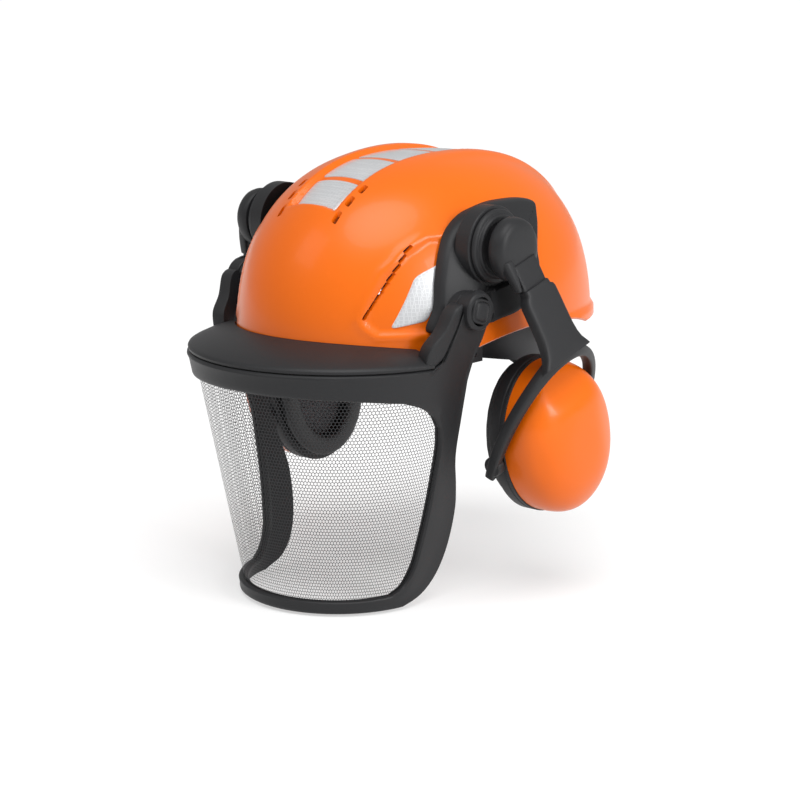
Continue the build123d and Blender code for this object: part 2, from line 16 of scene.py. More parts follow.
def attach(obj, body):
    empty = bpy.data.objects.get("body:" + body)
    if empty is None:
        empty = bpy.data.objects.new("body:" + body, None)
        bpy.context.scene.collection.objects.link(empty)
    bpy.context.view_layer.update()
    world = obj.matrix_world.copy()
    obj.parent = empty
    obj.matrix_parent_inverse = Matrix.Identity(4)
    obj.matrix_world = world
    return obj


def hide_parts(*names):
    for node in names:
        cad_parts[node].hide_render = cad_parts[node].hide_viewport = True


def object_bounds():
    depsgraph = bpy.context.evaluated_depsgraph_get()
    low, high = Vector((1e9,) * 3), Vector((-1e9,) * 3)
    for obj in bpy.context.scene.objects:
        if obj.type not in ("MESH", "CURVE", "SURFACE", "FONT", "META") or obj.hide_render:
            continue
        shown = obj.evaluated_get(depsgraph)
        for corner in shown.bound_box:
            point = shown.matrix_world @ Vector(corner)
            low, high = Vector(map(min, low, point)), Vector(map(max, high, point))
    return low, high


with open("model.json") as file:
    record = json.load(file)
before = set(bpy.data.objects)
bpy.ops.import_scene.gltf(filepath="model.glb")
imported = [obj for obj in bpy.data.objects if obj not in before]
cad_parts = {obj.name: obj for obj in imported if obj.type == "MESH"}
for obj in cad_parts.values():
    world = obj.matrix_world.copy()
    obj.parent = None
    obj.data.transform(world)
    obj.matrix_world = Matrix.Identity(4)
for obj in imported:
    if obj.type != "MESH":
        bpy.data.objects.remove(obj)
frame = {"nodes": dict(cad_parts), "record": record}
CAD_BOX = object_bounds()

LOG = logging.getLogger("hard_hat")
MM = 0.001
Points = np.ndarray
Outline = Sequence[tuple[float, float]]
Number = Union[int, float]


class Side(Enum):
    """The wearer's two sides, with the sign of X on each."""

    LEFT = 1
    RIGHT = -1

    @property
    def word(self) -> str:
        """The side's name in lower case, as node names end."""
        return self.name.lower()


# ---------------------------------------------------------------- shader expressions
class Sock:
    """A shader output that adds Math nodes when it is used in an expression."""

    def __init__(self, tree: bpy.types.NodeTree, out: bpy.types.NodeSocket) -> None:
        """Wrap one output socket of a tree."""
        self.tree = tree
        self.out = out

    def _math(self, operation: str, first: object, second: object) -> "Sock":
        """Add one Math node.

        Args:
            operation: The node's operation.
            first: A number or a wrapped socket.
            second: A number or a wrapped socket.

        Returns:
            The node's result.
        """
        node = self.tree.nodes.new("ShaderNodeMath")
        node.operation = operation
        for slot_number, value in enumerate((first, second)):
            if isinstance(value, Sock):
                self.tree.links.new(value.out, node.inputs[slot_number])
            else:
                node.inputs[slot_number].default_value = float(value)
        return Sock(self.tree, node.outputs[0])

    def __add__(self, other: object) -> "Sock":
        """Sum."""
        return self._math("ADD", self, other)

    def __radd__(self, other: object) -> "Sock":
        """Reflected sum."""
        return self._math("ADD", other, self)

    def __sub__(self, other: object) -> "Sock":
        """Difference."""
        return self._math("SUBTRACT", self, other)

    def __rsub__(self, other: object) -> "Sock":
        """Reflected difference."""
        return self._math("SUBTRACT", other, self)

    def __mul__(self, other: object) -> "Sock":
        """Product."""
        return self._math("MULTIPLY", self, other)

    def __rmul__(self, other: object) -> "Sock":
        """Reflected product."""
        return self._math("MULTIPLY", other, self)

    def __truediv__(self, other: object) -> "Sock":
        """Quotient."""
        return self._math("DIVIDE", self, other)

    def power(self, exponent: Number) -> "Sock":
        """Raise to a power."""
        return self._math("POWER", self, exponent)

    def above(self, level: Number) -> "Sock":
        """One where the value is greater than a level, else zero."""
        return self._math("GREATER_THAN", self, level)

    def sine(self) -> "Sock":
        """Sine of the value."""
        return self._math("SINE", self, 0.0)

    def clamped(self) -> "Sock":
        """The value kept between 0 and 1."""
        return self._math("MINIMUM", self._math("MAXIMUM", self, 0.0), 1.0)


class Shader:
    """One material's node tree with short calls to fill it."""

    def __init__(self, name: str) -> None:
        """Start a material that holds only a Principled shader and its output."""
        self.material = bpy.data.materials.new(name)
        self.material.use_nodes = True
        self.tree = self.material.node_tree
        self.tree.nodes.clear()
        self.output = self.tree.nodes.new("ShaderNodeOutputMaterial")
        self.principled = self.tree.nodes.new("ShaderNodeBsdfPrincipled")
        self.tree.links.new(self.principled.outputs[0], self.output.inputs[0])

    def node(self, kind: str, settings: Optional[dict] = None, values: Optional[dict] = None,
             out: Union[int, str] = 0) -> Sock:
        """Add any node.

        Args:
            kind: The node's type name.
            settings: Attributes that are set first; "stops" fills a colour ramp.
            values: Values or wrapped sockets for inputs, by name or number.
            out: The output to give back.

        Returns:
            The chosen output, wrapped.
        """
        made = self.tree.nodes.new(kind)
        for key, value in (settings or {}).items():
            if key == "stops":
                self._fill_ramp(made, value)
            else:
                setattr(made, key, value)
        for key, value in (values or {}).items():
            self._feed(made.inputs[key], value)
        return Sock(self.tree, made.outputs[out])

    def _feed(self, socket: bpy.types.NodeSocket, value: object) -> None:
        """Link or set one input."""
        if isinstance(value, Sock):
            self.tree.links.new(value.out, socket)
        else:
            socket.default_value = value

    @staticmethod
    def _fill_ramp(node: bpy.types.Node, stops: Sequence[tuple[float, Number]]) -> None:
        """Give a colour ramp grey stops.

        Args:
            node: The ramp.
            stops: Pairs of place and grey level.
        """
        elements = node.color_ramp.elements
        while len(elements) > 1:
            elements.remove(elements[-1])
        for number, (place, level) in enumerate(stops):
            stop = elements[0] if number == 0 else elements.new(place)
            stop.position = place
            stop.color = (level, level, level, 1.0)

    def place(self, output: str = "Object") -> Sock:
        """Texture coordinates in metres."""
        return self.node("ShaderNodeTexCoord", out=output)

    def noise(self, scale: Number, detail: Number = 3.0, rough: Number = 0.5,
              where: Optional[Sock] = None) -> Sock:
        """Noise factor at a scale in cycles per metre."""
        values = {"Scale": scale, "Detail": detail, "Roughness": rough, "Vector": where or self.place()}
        return self.node("ShaderNodeTexNoise", values=values)

    def mix(self, factor: object, first: object, second: object) -> Sock:
        """Mix two colours by a factor."""
        made = self.tree.nodes.new("ShaderNodeMix")
        made.data_type = "RGBA"
        self._feed(made.inputs[0], factor)
        self._feed(made.inputs[6], first)
        self._feed(made.inputs[7], second)
        return Sock(self.tree, made.outputs[2])

    def bump(self, height: Sock, depth: Number, strength: Number = 1.0,
             normal: Optional[Sock] = None) -> Sock:
        """Bump normal from a height between 0 and 1 and a depth in metres."""
        values = {"Height": height, "Distance": depth, "Strength": strength}
        if normal is not None:
            values["Normal"] = normal
        return self.node("ShaderNodeBump", values=values)

    def dress(self, **sockets: object) -> bpy.types.Material:
        """Set the Principled shader's inputs, with underscores for spaces in names."""
        for key, value in sockets.items():
            self._feed(self.principled.inputs[key.replace("_", " ")], value)
        return self.material


def rgb(red: Number, green: Number, blue: Number) -> tuple[float, float, float, float]:
    """An opaque linear colour."""
    return (float(red), float(green), float(blue), 1.0)


# ---------------------------------------------------------------- finishes
@dataclass(frozen=True)
class MouldedPlastic:
    """Injection-moulded plastic: faint flow marks, a fine grain and small scuffs."""

    name: str
    colour: tuple[float, float, float]
    deep: tuple[float, float, float]
    roughness: float
    grain_scale: float
    grain_depth: float
    coat: float = 0.0
    edge_radius: float = 0.0
    gloss: float = 0.3

    def make(self) -> bpy.types.Material:
        """Build the material."""
        shader = Shader(self.name)
        flow = shader.noise(9.0, 4.0, 0.55)
        scuff = shader.noise(55.0, 6.0, 0.7)
        marks = (scuff - 0.60).clamped() * 3.0
        grain = shader.noise(self.grain_scale, 2.0, 0.5)
        peel = shader.noise(self.grain_scale / 9.0, 2.0, 0.5)
        colour = shader.mix(flow, rgb(*self.deep), rgb(*self.colour))
        pale = tuple(min(1.0, level * 1.15 + 0.01) for level in self.colour)
        colour = shader.mix(marks.clamped() * 0.35, colour, rgb(*pale))
        roughness = (self.roughness + (flow - 0.5) * 0.10 + marks * 0.08).clamped()
        edges = None
        if self.edge_radius:
            edges = shader.node("ShaderNodeBevel", {"samples": 4}, {"Radius": self.edge_radius})
        height = grain * 0.8 + peel * 0.5
        return shader.dress(
            Base_Color=colour, Roughness=roughness, IOR=1.5, Specular_IOR_Level=self.gloss,
            Coat_Weight=self.coat, Coat_Roughness=0.08, Normal=shader.bump(height, self.grain_depth, 0.6, edges))


@dataclass(frozen=True)
class Film:
    """Retroreflective sheet: a silver ground with fine cells sealed in a honeycomb."""

    name: str = "reflective_sheet"
    cell_scale: float = 420.0

    def make(self) -> bpy.types.Material:
        """Build the material."""
        shader = Shader(self.name)
        cells = shader.node("ShaderNodeTexVoronoi", {"feature": "DISTANCE_TO_EDGE"},
                            {"Scale": self.cell_scale, "Vector": shader.place(), "Randomness": 0.25})
        seam = 1.0 - (cells * 7.0).clamped()
        cloud = shader.noise(40.0, 3.0, 0.6)
        ground = shader.mix(cloud, rgb(0.50, 0.51, 0.53), rgb(0.64, 0.65, 0.66))
        colour = shader.mix(seam * 0.55, ground, rgb(0.76, 0.77, 0.78))
        return shader.dress(
            Base_Color=colour, Roughness=(0.34 + cloud * 0.12), Metallic=0.25, Coat_Weight=0.5,
            Coat_Roughness=0.12, Normal=shader.bump(seam, 0.00006, 0.7))


@dataclass(frozen=True)
class Steel:
    """Plain or blackened steel with drawn lines and small pits."""

    name: str
    colour: tuple[float, float, float]
    roughness: float
    metallic: float = 1.0

    def make(self) -> bpy.types.Material:
        """Build the material."""
        shader = Shader(self.name)
        lines = shader.node("ShaderNodeMapping", values={"Vector": shader.place(), "Scale": (60.0, 900.0, 900.0)})
        drawn = shader.noise(1.0, 3.0, 0.6, lines)
        pits = shader.noise(1500.0, 2.0, 0.6)
        dark = tuple(level * 0.72 for level in self.colour)
        return shader.dress(
            Base_Color=shader.mix(drawn, rgb(*dark), rgb(*self.colour)), Metallic=self.metallic,
            Roughness=(self.roughness + (drawn - 0.5) * 0.15),
            Normal=shader.bump(drawn * 0.5 + pits * 0.5, 0.00003, 0.5))


@dataclass(frozen=True)
class Weave:
    """Woven webbing or knitted cover: crossed threads with a little fuzz, painted darker in the gaps between
    threads as painted shade, with uneven wear in the colour.
    """

    name: str
    colour: tuple[float, float, float]
    thread: float
    depth: float
    sheen: float = 0.3

    def make(self) -> bpy.types.Material:
        """Build the material."""
        shader = Shader(self.name)
        turns = 2.0 * math.pi / self.thread
        parts = shader.tree.nodes.new("ShaderNodeSeparateXYZ")
        shader.tree.links.new(shader.place().out, parts.inputs[0])
        along, across, up = (Sock(shader.tree, out) for out in parts.outputs)
        warp = ((along + up) * turns).sine() * 0.5 + 0.5
        weft = ((across - up * 0.6) * turns).sine() * 0.5 + 0.5
        threads = warp * (1.0 - weft) + weft * (1.0 - warp)
        fuzz = shader.noise(1800.0, 3.0, 0.7)
        wear = shader.noise(25.0, 4.0, 0.6)
        # painted shade: raised threads are paler and the gaps between them darker; the wear noise adds real uneven
        # wear
        pale = tuple(min(1.0, level * 1.9 + 0.015) for level in self.colour)
        colour = shader.mix((threads * 0.6 + wear * 0.4).clamped(), rgb(*self.colour), rgb(*pale))
        return shader.dress(
            Base_Color=colour, Roughness=(0.86 + fuzz * 0.12).clamped(), Sheen_Weight=self.sheen,
            Normal=shader.bump(threads * 0.75 + fuzz * 0.25, self.depth, 0.8))


@dataclass(frozen=True)
class Foam:
    """Open-cell foam with visible pores, painted darker inside the pores as painted shade."""

    name: str = "open_foam"

    def make(self) -> bpy.types.Material:
        """Build the material."""
        shader = Shader(self.name)
        pores = shader.node("ShaderNodeTexVoronoi", values={"Scale": 700.0, "Vector": shader.place()})
        coarse = shader.noise(160.0, 4.0, 0.6)
        # painted shade: the colour is darkest at the middle of each pore, where the bump is lowest
        colour = shader.mix((pores * 1.4).clamped(), rgb(0.04, 0.04, 0.045), rgb(0.14, 0.14, 0.15))
        return shader.dress(Base_Color=colour, Roughness=(0.88 + coarse * 0.1), Sheen_Weight=0.2,
                            Normal=shader.bump(pores * 0.8 + coarse * 0.2, 0.0005, 0.9))


@dataclass(frozen=True)
class SoftSkin:
    """Thin vinyl skin over foam, with creases and pores, painted darker in the dips of the creases as painted
    shade.
    """

    name: str = "cushion_vinyl"

    def make(self) -> bpy.types.Material:
        """Build the material."""
        shader = Shader(self.name)
        pores = shader.node("ShaderNodeTexVoronoi", values={"Scale": 900.0, "Vector": shader.place()})
        crease = shader.noise(70.0, 5.0, 0.65)
        # painted shade: the crease noise that lowers the bump also darkens the colour, so the dips of the creases
        # are darker
        colour = shader.mix(crease, rgb(0.012, 0.012, 0.013), rgb(0.030, 0.030, 0.032))
        return shader.dress(Base_Color=colour, Roughness=(0.42 + crease * 0.2), Coat_Weight=0.05,
                            Normal=shader.bump(pores * 0.4 + crease * 0.6, 0.0004, 0.6))


class Finishes:
    """Every material of the hat, made once."""

    def __init__(self) -> None:
        """Make the materials."""
        orange, orange_deep = (0.86, 0.155, 0.002), (0.81, 0.135, 0.001)
        black, black_deep = (0.023, 0.023, 0.025), (0.015, 0.0155, 0.0165)
        self.shell = MouldedPlastic("gloss_orange", orange, orange_deep, 0.33, 900.0, 0.00003, 0.12).make()
        self.shell_inside = MouldedPlastic("orange_inside", orange, orange_deep, 0.5, 900.0, 0.00006).make()
        self.black = MouldedPlastic("satin_black", black, black_deep, 0.46, 2300.0, 0.00010,
                                    edge_radius=0.0006).make()
        self.nylon = MouldedPlastic("flexible_nylon", (0.035, 0.035, 0.038), (0.024, 0.024, 0.026), 0.5,
                                    1500.0, 0.00006, edge_radius=0.0004).make()
        self.film = Film().make()
        self.steel = Steel("bright_steel", (0.62, 0.63, 0.65), 0.28).make()
        self.screen = Steel("etched_black_steel", (0.035, 0.035, 0.038), 0.42, 0.35).make()
        self.webbing = Weave("strap_weave", (0.022, 0.022, 0.025), 0.0011, 0.00025).make()
        self.comfort = Weave("knit_cover", (0.030, 0.030, 0.034), 0.0016, 0.00035, 0.5).make()
        self.foam = Foam().make()
        self.skin = SoftSkin().make()


# ---------------------------------------------------------------- mesh building
def grid_faces(rows: int, cols: int, wrap_cols: bool = False) -> list[tuple[int, ...]]:
    """Quads over a grid of points.

    Args:
        rows: Number of rows.
        cols: Points in each row.
        wrap_cols: Whether each row is a closed ring.

    Returns:
        The faces, by point number.
    """
    faces = []
    last = cols if wrap_cols else cols - 1
    for row in range(rows - 1):
        for col in range(last):
            after = (col + 1) % cols
            low, high = row * cols, (row + 1) * cols
            faces.append((low + col, low + after, high + after, high + col))
    return faces


class Mesh:
    """Points and faces gathered for one piece."""

    def __init__(self) -> None:
        """Start empty."""
        self.points: list[Points] = []
        self.faces: list[tuple[int, ...]] = []
        self.count = 0

    def add(self, points: Points, faces: Sequence[tuple[int, ...]]) -> "Mesh":
        """Add a set of points with its faces."""
        points = np.asarray(points, float).reshape(-1, 3)
        self.faces.extend(tuple(number + self.count for number in face) for face in faces)
        self.points.append(points)
        self.count += len(points)
        return self

    def loft(self, sections: Sequence[Points], caps: bool = True) -> "Mesh":
        """Skin closed rings of equal length, with fans over both ends.

        Args:
            sections: Rings of points.
            caps: Whether the two ends are closed.

        Returns:
            This mesh.
        """
        rings = [np.asarray(ring, float) for ring in sections]
        size = len(rings[0])
        points = np.concatenate(rings)
        faces = grid_faces(len(rings), size, wrap_cols=True)
        if caps:
            total = len(points)
            points = np.vstack([points, rings[0].mean(0), rings[-1].mean(0)])
            first = (len(rings) - 1) * size
            for col in range(size):
                after = (col + 1) % size
                faces.append((total, after, col))
                faces.append((total + 1, first + col, first + after))
        return self.add(points, faces)

    def closed_loft(self, sections: Sequence[Points]) -> "Mesh":
        """Skin closed rings whose last ring joins the first."""
        rings = [np.asarray(ring, float) for ring in sections]
        return self.loft([*rings, rings[0]], caps=False)

    def lathe(self, origin: Sequence[float], axis: Sequence[float], profile: Outline,
              steps: int = 72, wave: Optional[Callable[[float, float, float], float]] = None) -> "Mesh":
        """Turn a closed profile about an axis.

        Args:
            origin: A point on the axis.
            axis: The axis's direction.
            profile: Pairs of radius and distance along the axis, in mm.
            steps: Points round the axis.
            wave: Gives a change of radius in mm from the angle, radius and distance.

        Returns:
            This mesh.
        """
        along = Vector(axis).normalized()
        side = along.orthogonal().normalized()
        other = along.cross(side)
        rings = []
        for step in range(steps):
            turn = 2.0 * math.pi * step / steps
            out = side * math.cos(turn) + other * math.sin(turn)
            ring = []
            for radius, far in profile:
                extra = wave(turn, radius, far) if wave else 0.0
                ring.append(Vector(origin) + out * ((radius + extra) * MM) + along * (far * MM))
            rings.append(np.array(ring))
        return self.closed_loft(rings)

    def piece(self, name: str, body: str, material: bpy.types.Material, slot: str,
              stands_for: Sequence[str] = (), crease: float = 38.0) -> bpy.types.Object:
        """Make the object, put it on its body and hide the CAD nodes that it stands for.

        Args:
            name: The piece's name.
            body: The body that it rides on.
            material: Its finish.
            slot: The record's material slot; not used.
            stands_for: CAD nodes that it hides.
            crease: Angle in degrees above which an edge stays sharp.

        Returns:
            The new object.
        """
        data = bpy.data.meshes.new(name)
        data.from_pydata(np.concatenate(self.points).tolist(), [], self.faces)
        work = bmesh.new()
        work.from_mesh(data)
        bmesh.ops.remove_doubles(work, verts=work.verts, dist=2e-6)
        bmesh.ops.dissolve_degenerate(work, edges=work.edges, dist=1e-6)
        bmesh.ops.recalc_face_normals(work, faces=work.faces)
        work.to_mesh(data)
        work.free()
        data.shade_smooth()
        data.set_sharp_from_angle(angle=math.radians(crease))
        made = bpy.data.objects.new(name, data)
        bpy.context.scene.collection.objects.link(made)
        data.materials.append(material)
        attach(made, body)
        if stands_for:
            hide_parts(*stands_for)
        LOG.info("%s: %d faces on %s", name, len(data.polygons), body)
        return made


def smooth_path(points: Outline, per_span: int = 8) -> Points:
    """Points along a smooth curve through the given ones.

    Args:
        points: Corner points of an open path.
        per_span: Points made in each span.

    Returns:
        An array of points.
    """
    given = np.asarray(points, float)
    padded = np.vstack([2 * given[0] - given[1], given, 2 * given[-1] - given[-2]])
    made = []
    for number in range(1, len(padded) - 2):
        p0, p1, p2, p3 = padded[number - 1:number + 3]
        t0 = 0.0
        t1 = t0 + max(np.linalg.norm(p1 - p0), 1e-9) ** 0.5
        t2 = t1 + max(np.linalg.norm(p2 - p1), 1e-9) ** 0.5
        t3 = t2 + max(np.linalg.norm(p3 - p2), 1e-9) ** 0.5
        for t in np.linspace(t1, t2, per_span, endpoint=False):
            a1 = (t1 - t) / (t1 - t0) * p0 + (t - t0) / (t1 - t0) * p1
            a2 = (t2 - t) / (t2 - t1) * p1 + (t - t1) / (t2 - t1) * p2
            a3 = (t3 - t) / (t3 - t2) * p2 + (t - t2) / (t3 - t2) * p3
            b1 = (t2 - t) / (t2 - t0) * a1 + (t - t0) / (t2 - t0) * a2
            b2 = (t3 - t) / (t3 - t1) * a2 + (t - t1) / (t3 - t1) * a3
            made.append((t2 - t) / (t2 - t1) * b1 + (t - t1) / (t2 - t1) * b2)
    made.append(given[-1])
    return np.array(made)


def smooth_ring(points: Outline, per_span: int = 8) -> Points:
    """Points along a smooth closed curve through the given ones."""
    given = [tuple(point) for point in points]
    longer = given[-2:] + given + given[:3]
    path = smooth_path(longer, per_span)
    return path[2 * per_span:(2 + len(given)) * per_span]


def resample(path: Points, count: int) -> Points:
    """Evenly spaced points along an open path.

    Args:
        path: The path's points.
        count: How many to give back, both ends included.

    Returns:
        An array of that many points.
    """
    steps = np.linalg.norm(np.diff(path, axis=0), axis=1)
    far = np.concatenate([[0.0], np.cumsum(steps)])
    wanted = np.linspace(0.0, far[-1], count)
    return np.stack([np.interp(wanted, far, path[:, axis]) for axis in range(path.shape[1])], axis=1)


def step_up(value: Points, low: float, high: float) -> Points:
    """Smooth step from 0 at low to 1 at high."""
    part = np.clip((value - low) / (high - low), 0.0, 1.0)
    return part * part * (3.0 - 2.0 * part)


def inside_by(y: Points, z: Points, outline: Outline) -> Points:
    """Distance inside an outline, negative outside it.

    Args:
        y: First coordinates.
        z: Second coordinates.
        outline: The outline's corners.

    Returns:
        Signed distances.
    """
    corners = np.asarray(outline, float)
    nearest = np.full(y.shape, np.inf)
    within = np.zeros(y.shape, bool)
    for (ya, za), (yb, zb) in zip(corners, np.roll(corners, -1, axis=0)):
        dy, dz = yb - ya, zb - za
        part = np.clip(((y - ya) * dy + (z - za) * dz) / (dy * dy + dz * dz), 0.0, 1.0)
        nearest = np.minimum(nearest, np.hypot(y - ya - part * dy, z - za - part * dz))
        crosses = (za > z) != (zb > z)
        with np.errstate(divide="ignore", invalid="ignore"):
            within ^= crosses & (y < (yb - ya) * (z - za) / (zb - za) + ya)
    return np.where(within, nearest, -nearest)


def rounded_ring(centre: Points, across: Points, along: Points, half_across: float, half_along: float,
                 power: float = 4.0, count: int = 32) -> Points:
    """A closed ring shaped as a rounded rectangle.

    Args:
        centre: The ring's centre.
        across: Unit direction of its first half-size.
        along: Unit direction of its second half-size.
        half_across: First half-size.
        half_along: Second half-size.
        power: 2 for an ellipse, more for squarer corners.
        count: Points in the ring.

    Returns:
        The ring's points.
    """
    turn = np.linspace(0.0, 2.0 * math.pi, count, endpoint=False)
    u = np.sign(np.cos(turn)) * np.abs(np.cos(turn)) ** (2.0 / power) * half_across
    v = np.sign(np.sin(turn)) * np.abs(np.sin(turn)) ** (2.0 / power) * half_along
    return np.asarray(centre) + np.outer(u, across) + np.outer(v, along)


# ---------------------------------------------------------------- forms shared by pieces
@dataclass(frozen=True)
class DomeForm:
    """The shell's outer form in mm: a superellipse dome on an oval."""

    half_width: float = 104.0
    front: float = 141.0
    back: float = 140.0
    rise: float = 132.0
    base: float = -15.0
    power: float = 2.5

    def _half_length(self, y: Points, lift: Points) -> Points:
        """Half-length of the oval on the side of each y."""
        return np.where(np.asarray(y) < 0.0, self.front, self.back) + lift

    def point(self, turn: Points, climb: Points, lift: Points) -> Points:
        """Points by direction.

        Args:
            turn: Angle round Z, zero at the front.
            climb: Angle up the profile, from 0 at the base to a right angle at the top.
            lift: Offset from the plain form.

        Returns:
            Points in mm with the shape of the arguments.
        """
        spread = np.maximum(np.cos(climb), 0.0) ** (2.0 / self.power)
        up = np.sin(climb) ** (2.0 / self.power)
        ahead = -np.cos(turn)
        x = (self.half_width + lift) * spread * np.sin(turn)
        y = self._half_length(ahead, lift) * spread * ahead
        return np.stack([x, y, self.base + (self.rise + lift) * up], axis=-1)

    def height(self, x: Points, y: Points, lift: Points) -> Points:
        """Points of the form above given x and y."""
        spread = np.hypot(x / (self.half_width + lift), y / self._half_length(y, lift))
        up = np.maximum(1.0 - spread ** self.power, 0.0) ** (1.0 / self.power)
        return np.stack([x, y, self.base + (self.rise + lift) * up], axis=-1)

    def side(self, y: Points, z: Points, lift: Points) -> Points:
        """Points of the form's left side at given y and z."""
        up = np.clip((z - self.base) / (self.rise + lift), 0.0, 1.0)
        spread = (1.0 - up ** self.power) ** (1.0 / self.power)
        room = np.maximum(spread ** 2 - (y / self._half_length(y, lift)) ** 2, 0.0)
        return np.stack([(self.half_width + lift) * np.sqrt(room), y, z], axis=-1)

    def outside(self, x: Points, y: Points, z: Points, lift: float) -> Points:
        """Positive where a point is outside the form grown by a lift."""
        spread = np.hypot(x / (self.half_width + lift), y / self._half_length(y, lift))
        up = np.maximum((z - self.base) / (self.rise + lift), 0.0)
        return spread ** self.power + up ** self.power - 1.0


@dataclass(frozen=True)
class VisorForm:
    """The visor's cone in mm: a half round front with straight sides behind its centre."""

    centre_y: float = -80.0
    radius: float = 93.0
    radius_z: float = -25.0
    taper: float = 0.2
    quarter: float = 146.0

    def point(self, along: Points, z: Points, lift: Points) -> Points:
        """Points of the wall.

        Args:
            along: Distance round the wall from its front, in mm, positive to the left.
            z: Heights.
            lift: Offset outwards.

        Returns:
            Points in mm.
        """
        radius = self.radius + self.taper * (z - self.radius_z) + lift
        far = np.abs(along)
        turn = np.minimum(far / self.quarter, 1.0) * (math.pi / 2.0)
        x = np.sign(along) * radius * np.sin(turn)
        y = self.centre_y - radius * np.cos(turn) + np.maximum(far - self.quarter, 0.0)
        return np.stack([x, y, z * np.ones_like(x)], axis=-1)

    def along(self, y: Points, z: Points) -> Points:
        """Distance round the wall of side-view points."""
        radius = self.radius + self.taper * (z - self.radius_z)
        ratio = np.clip((self.centre_y - y) / radius, 0.0, 1.0)
        return np.where(y < self.centre_y, np.arccos(ratio) / (math.pi / 2.0) * self.quarter,
                        self.quarter + y - self.centre_y)

    def unrolled(self, outline: Outline, per_span: int = 8) -> Points:
        """A side-view outline as a smooth path of (along, z) points."""
        path = smooth_path(outline, per_span)
        return np.stack([self.along(path[:, 0], path[:, 1]), path[:, 1]], axis=1)


@dataclass(frozen=True)
class MuffForm:
    """The leaned frame that each muff hangs in, in mm."""

    turret_y: float = -38.0
    turret_z: float = 62.0
    lean: float = math.radians(17.5)
    splay: float = math.radians(18.0)
    strut_x: float = 117.0
    cup_drop: float = 135.0
    half_width: float = 43.0
    half_height: float = 53.0

    def place(self, points: Points, side: Side) -> Points:
        """Move points from the hanging frame to the hat.

        Args:
            points: Points in mm, as if the left muff hung straight down.
            side: The side that they go to.

        Returns:
            Points in metres.
        """
        points = np.asarray(points, float)
        x, y, z = points[..., 0], points[..., 1], points[..., 2]
        moved = [x * side.value, y * math.cos(self.lean) - z * math.sin(self.lean) + self.turret_y,
                 y * math.sin(self.lean) + z * math.cos(self.lean) + self.turret_z]
        return np.stack(moved, axis=-1) * MM

    def strut(self, out: Points, y: Points, down: Points) -> Points:
        """Points on the splayed strut, given outwards, sideways and down its length."""
        cosine, sine = math.cos(self.splay), math.sin(self.splay)
        out, y, down = np.broadcast_arrays(np.asarray(out, float), y, down)
        return np.stack([self.strut_x + out * cosine + down * sine, y, out * sine - down * cosine], axis=-1)

    def oval(self, turn: Points, grow: Points, x: Points) -> Points:
        """Points on the cup's oval, grown by an amount, at a distance from the head."""
        y = (self.half_width + grow) * np.sin(turn)
        z = (self.half_height + grow) * np.cos(turn) - self.cup_drop
        return np.stack([x * np.ones_like(y), y, z], axis=-1)


DOME = DomeForm()
VISOR = VisorForm()
MUFF = MuffForm()


def plate(outline: Points, surface: Callable[[Points, Points, Points], Points], profile: Outline,
          floor: float, fill: int = 7) -> Mesh:
    """A plate that follows a surface, with a shaped edge.

    Args:
        outline: Points of a closed smooth ring.
        surface: Gives points in mm from two coordinates and a lift.
        profile: Pairs of inset and lift in mm, from the foot of the edge to the face.
        floor: Lift of the underside.
        fill: Rings between the edge and the middle.

    Returns:
        The plate's mesh in metres.
    """
    before, after = np.roll(outline, 1, axis=0), np.roll(outline, -1, axis=0)
    along = after - before
    along /= np.linalg.norm(along, axis=1, keepdims=True)
    area = np.sum(outline[:, 0] * after[:, 1] - after[:, 0] * outline[:, 1])
    inward = np.stack([-along[:, 1], along[:, 0]], axis=1) * np.sign(area)
    middle = outline.mean(0)
    rings = []
    edge = outline
    for inset, lift in profile:
        edge = outline + inward * inset
        rings.append(surface(edge[:, 0], edge[:, 1], np.full(len(edge), float(lift))))
    top = float(profile[-1][1])
    for part in np.linspace(1.0, 0.0, fill + 1)[1:]:
        ring = middle + (edge - middle) * part
        rings.append(surface(ring[:, 0], ring[:, 1], np.full(len(ring), top)))
    under = []
    for part in np.linspace(0.0, 1.0, fill + 1):
        ring = middle + (outline - middle) * part
        under.append(surface(ring[:, 0], ring[:, 1], np.full(len(ring), floor)))
    mesh = Mesh()
    points = np.concatenate([*under, *rings]) * MM
    return mesh.add(points, grid_faces(len(under) + len(rings), len(outline), wrap_cols=True))


def mirrored(mesh: Mesh) -> Mesh:
    """The mesh's mirror image about the middle plane."""
    made = Mesh()
    for points in mesh.points:
        made.points.append(points * np.array([-1.0, 1.0, 1.0]))
    made.faces = [tuple(reversed(face)) for face in mesh.faces]
    made.count = mesh.count
    return made


def carve(made: bpy.types.Object, cutter: Mesh, crease: float = 38.0) -> None:
    """Cut holes through an object.

    Args:
        made: The object that is cut.
        cutter: Closed solids to take away.
        crease: Angle in degrees above which an edge stays sharp.
    """
    data = bpy.data.meshes.new("cutter")
    data.from_pydata(np.concatenate(cutter.points).tolist(), [], cutter.faces)
    work = bmesh.new()
    work.from_mesh(data)
    bmesh.ops.recalc_face_normals(work, faces=work.faces)
    work.to_mesh(data)
    work.free()
    tool = bpy.data.objects.new("cutter", data)
    bpy.context.scene.collection.objects.link(tool)
    cut = made.modifiers.new("cut", "BOOLEAN")
    cut.operation = "DIFFERENCE"
    cut.solver = "EXACT"
    cut.use_self = True
    cut.object = tool
    graph = bpy.context.evaluated_depsgraph_get()
    result = bpy.data.meshes.new_from_object(made.evaluated_get(graph))
    made.modifiers.clear()
    made.data = result
    bpy.data.objects.remove(tool)
    result.shade_smooth()
    result.set_sharp_from_angle(angle=math.radians(crease))


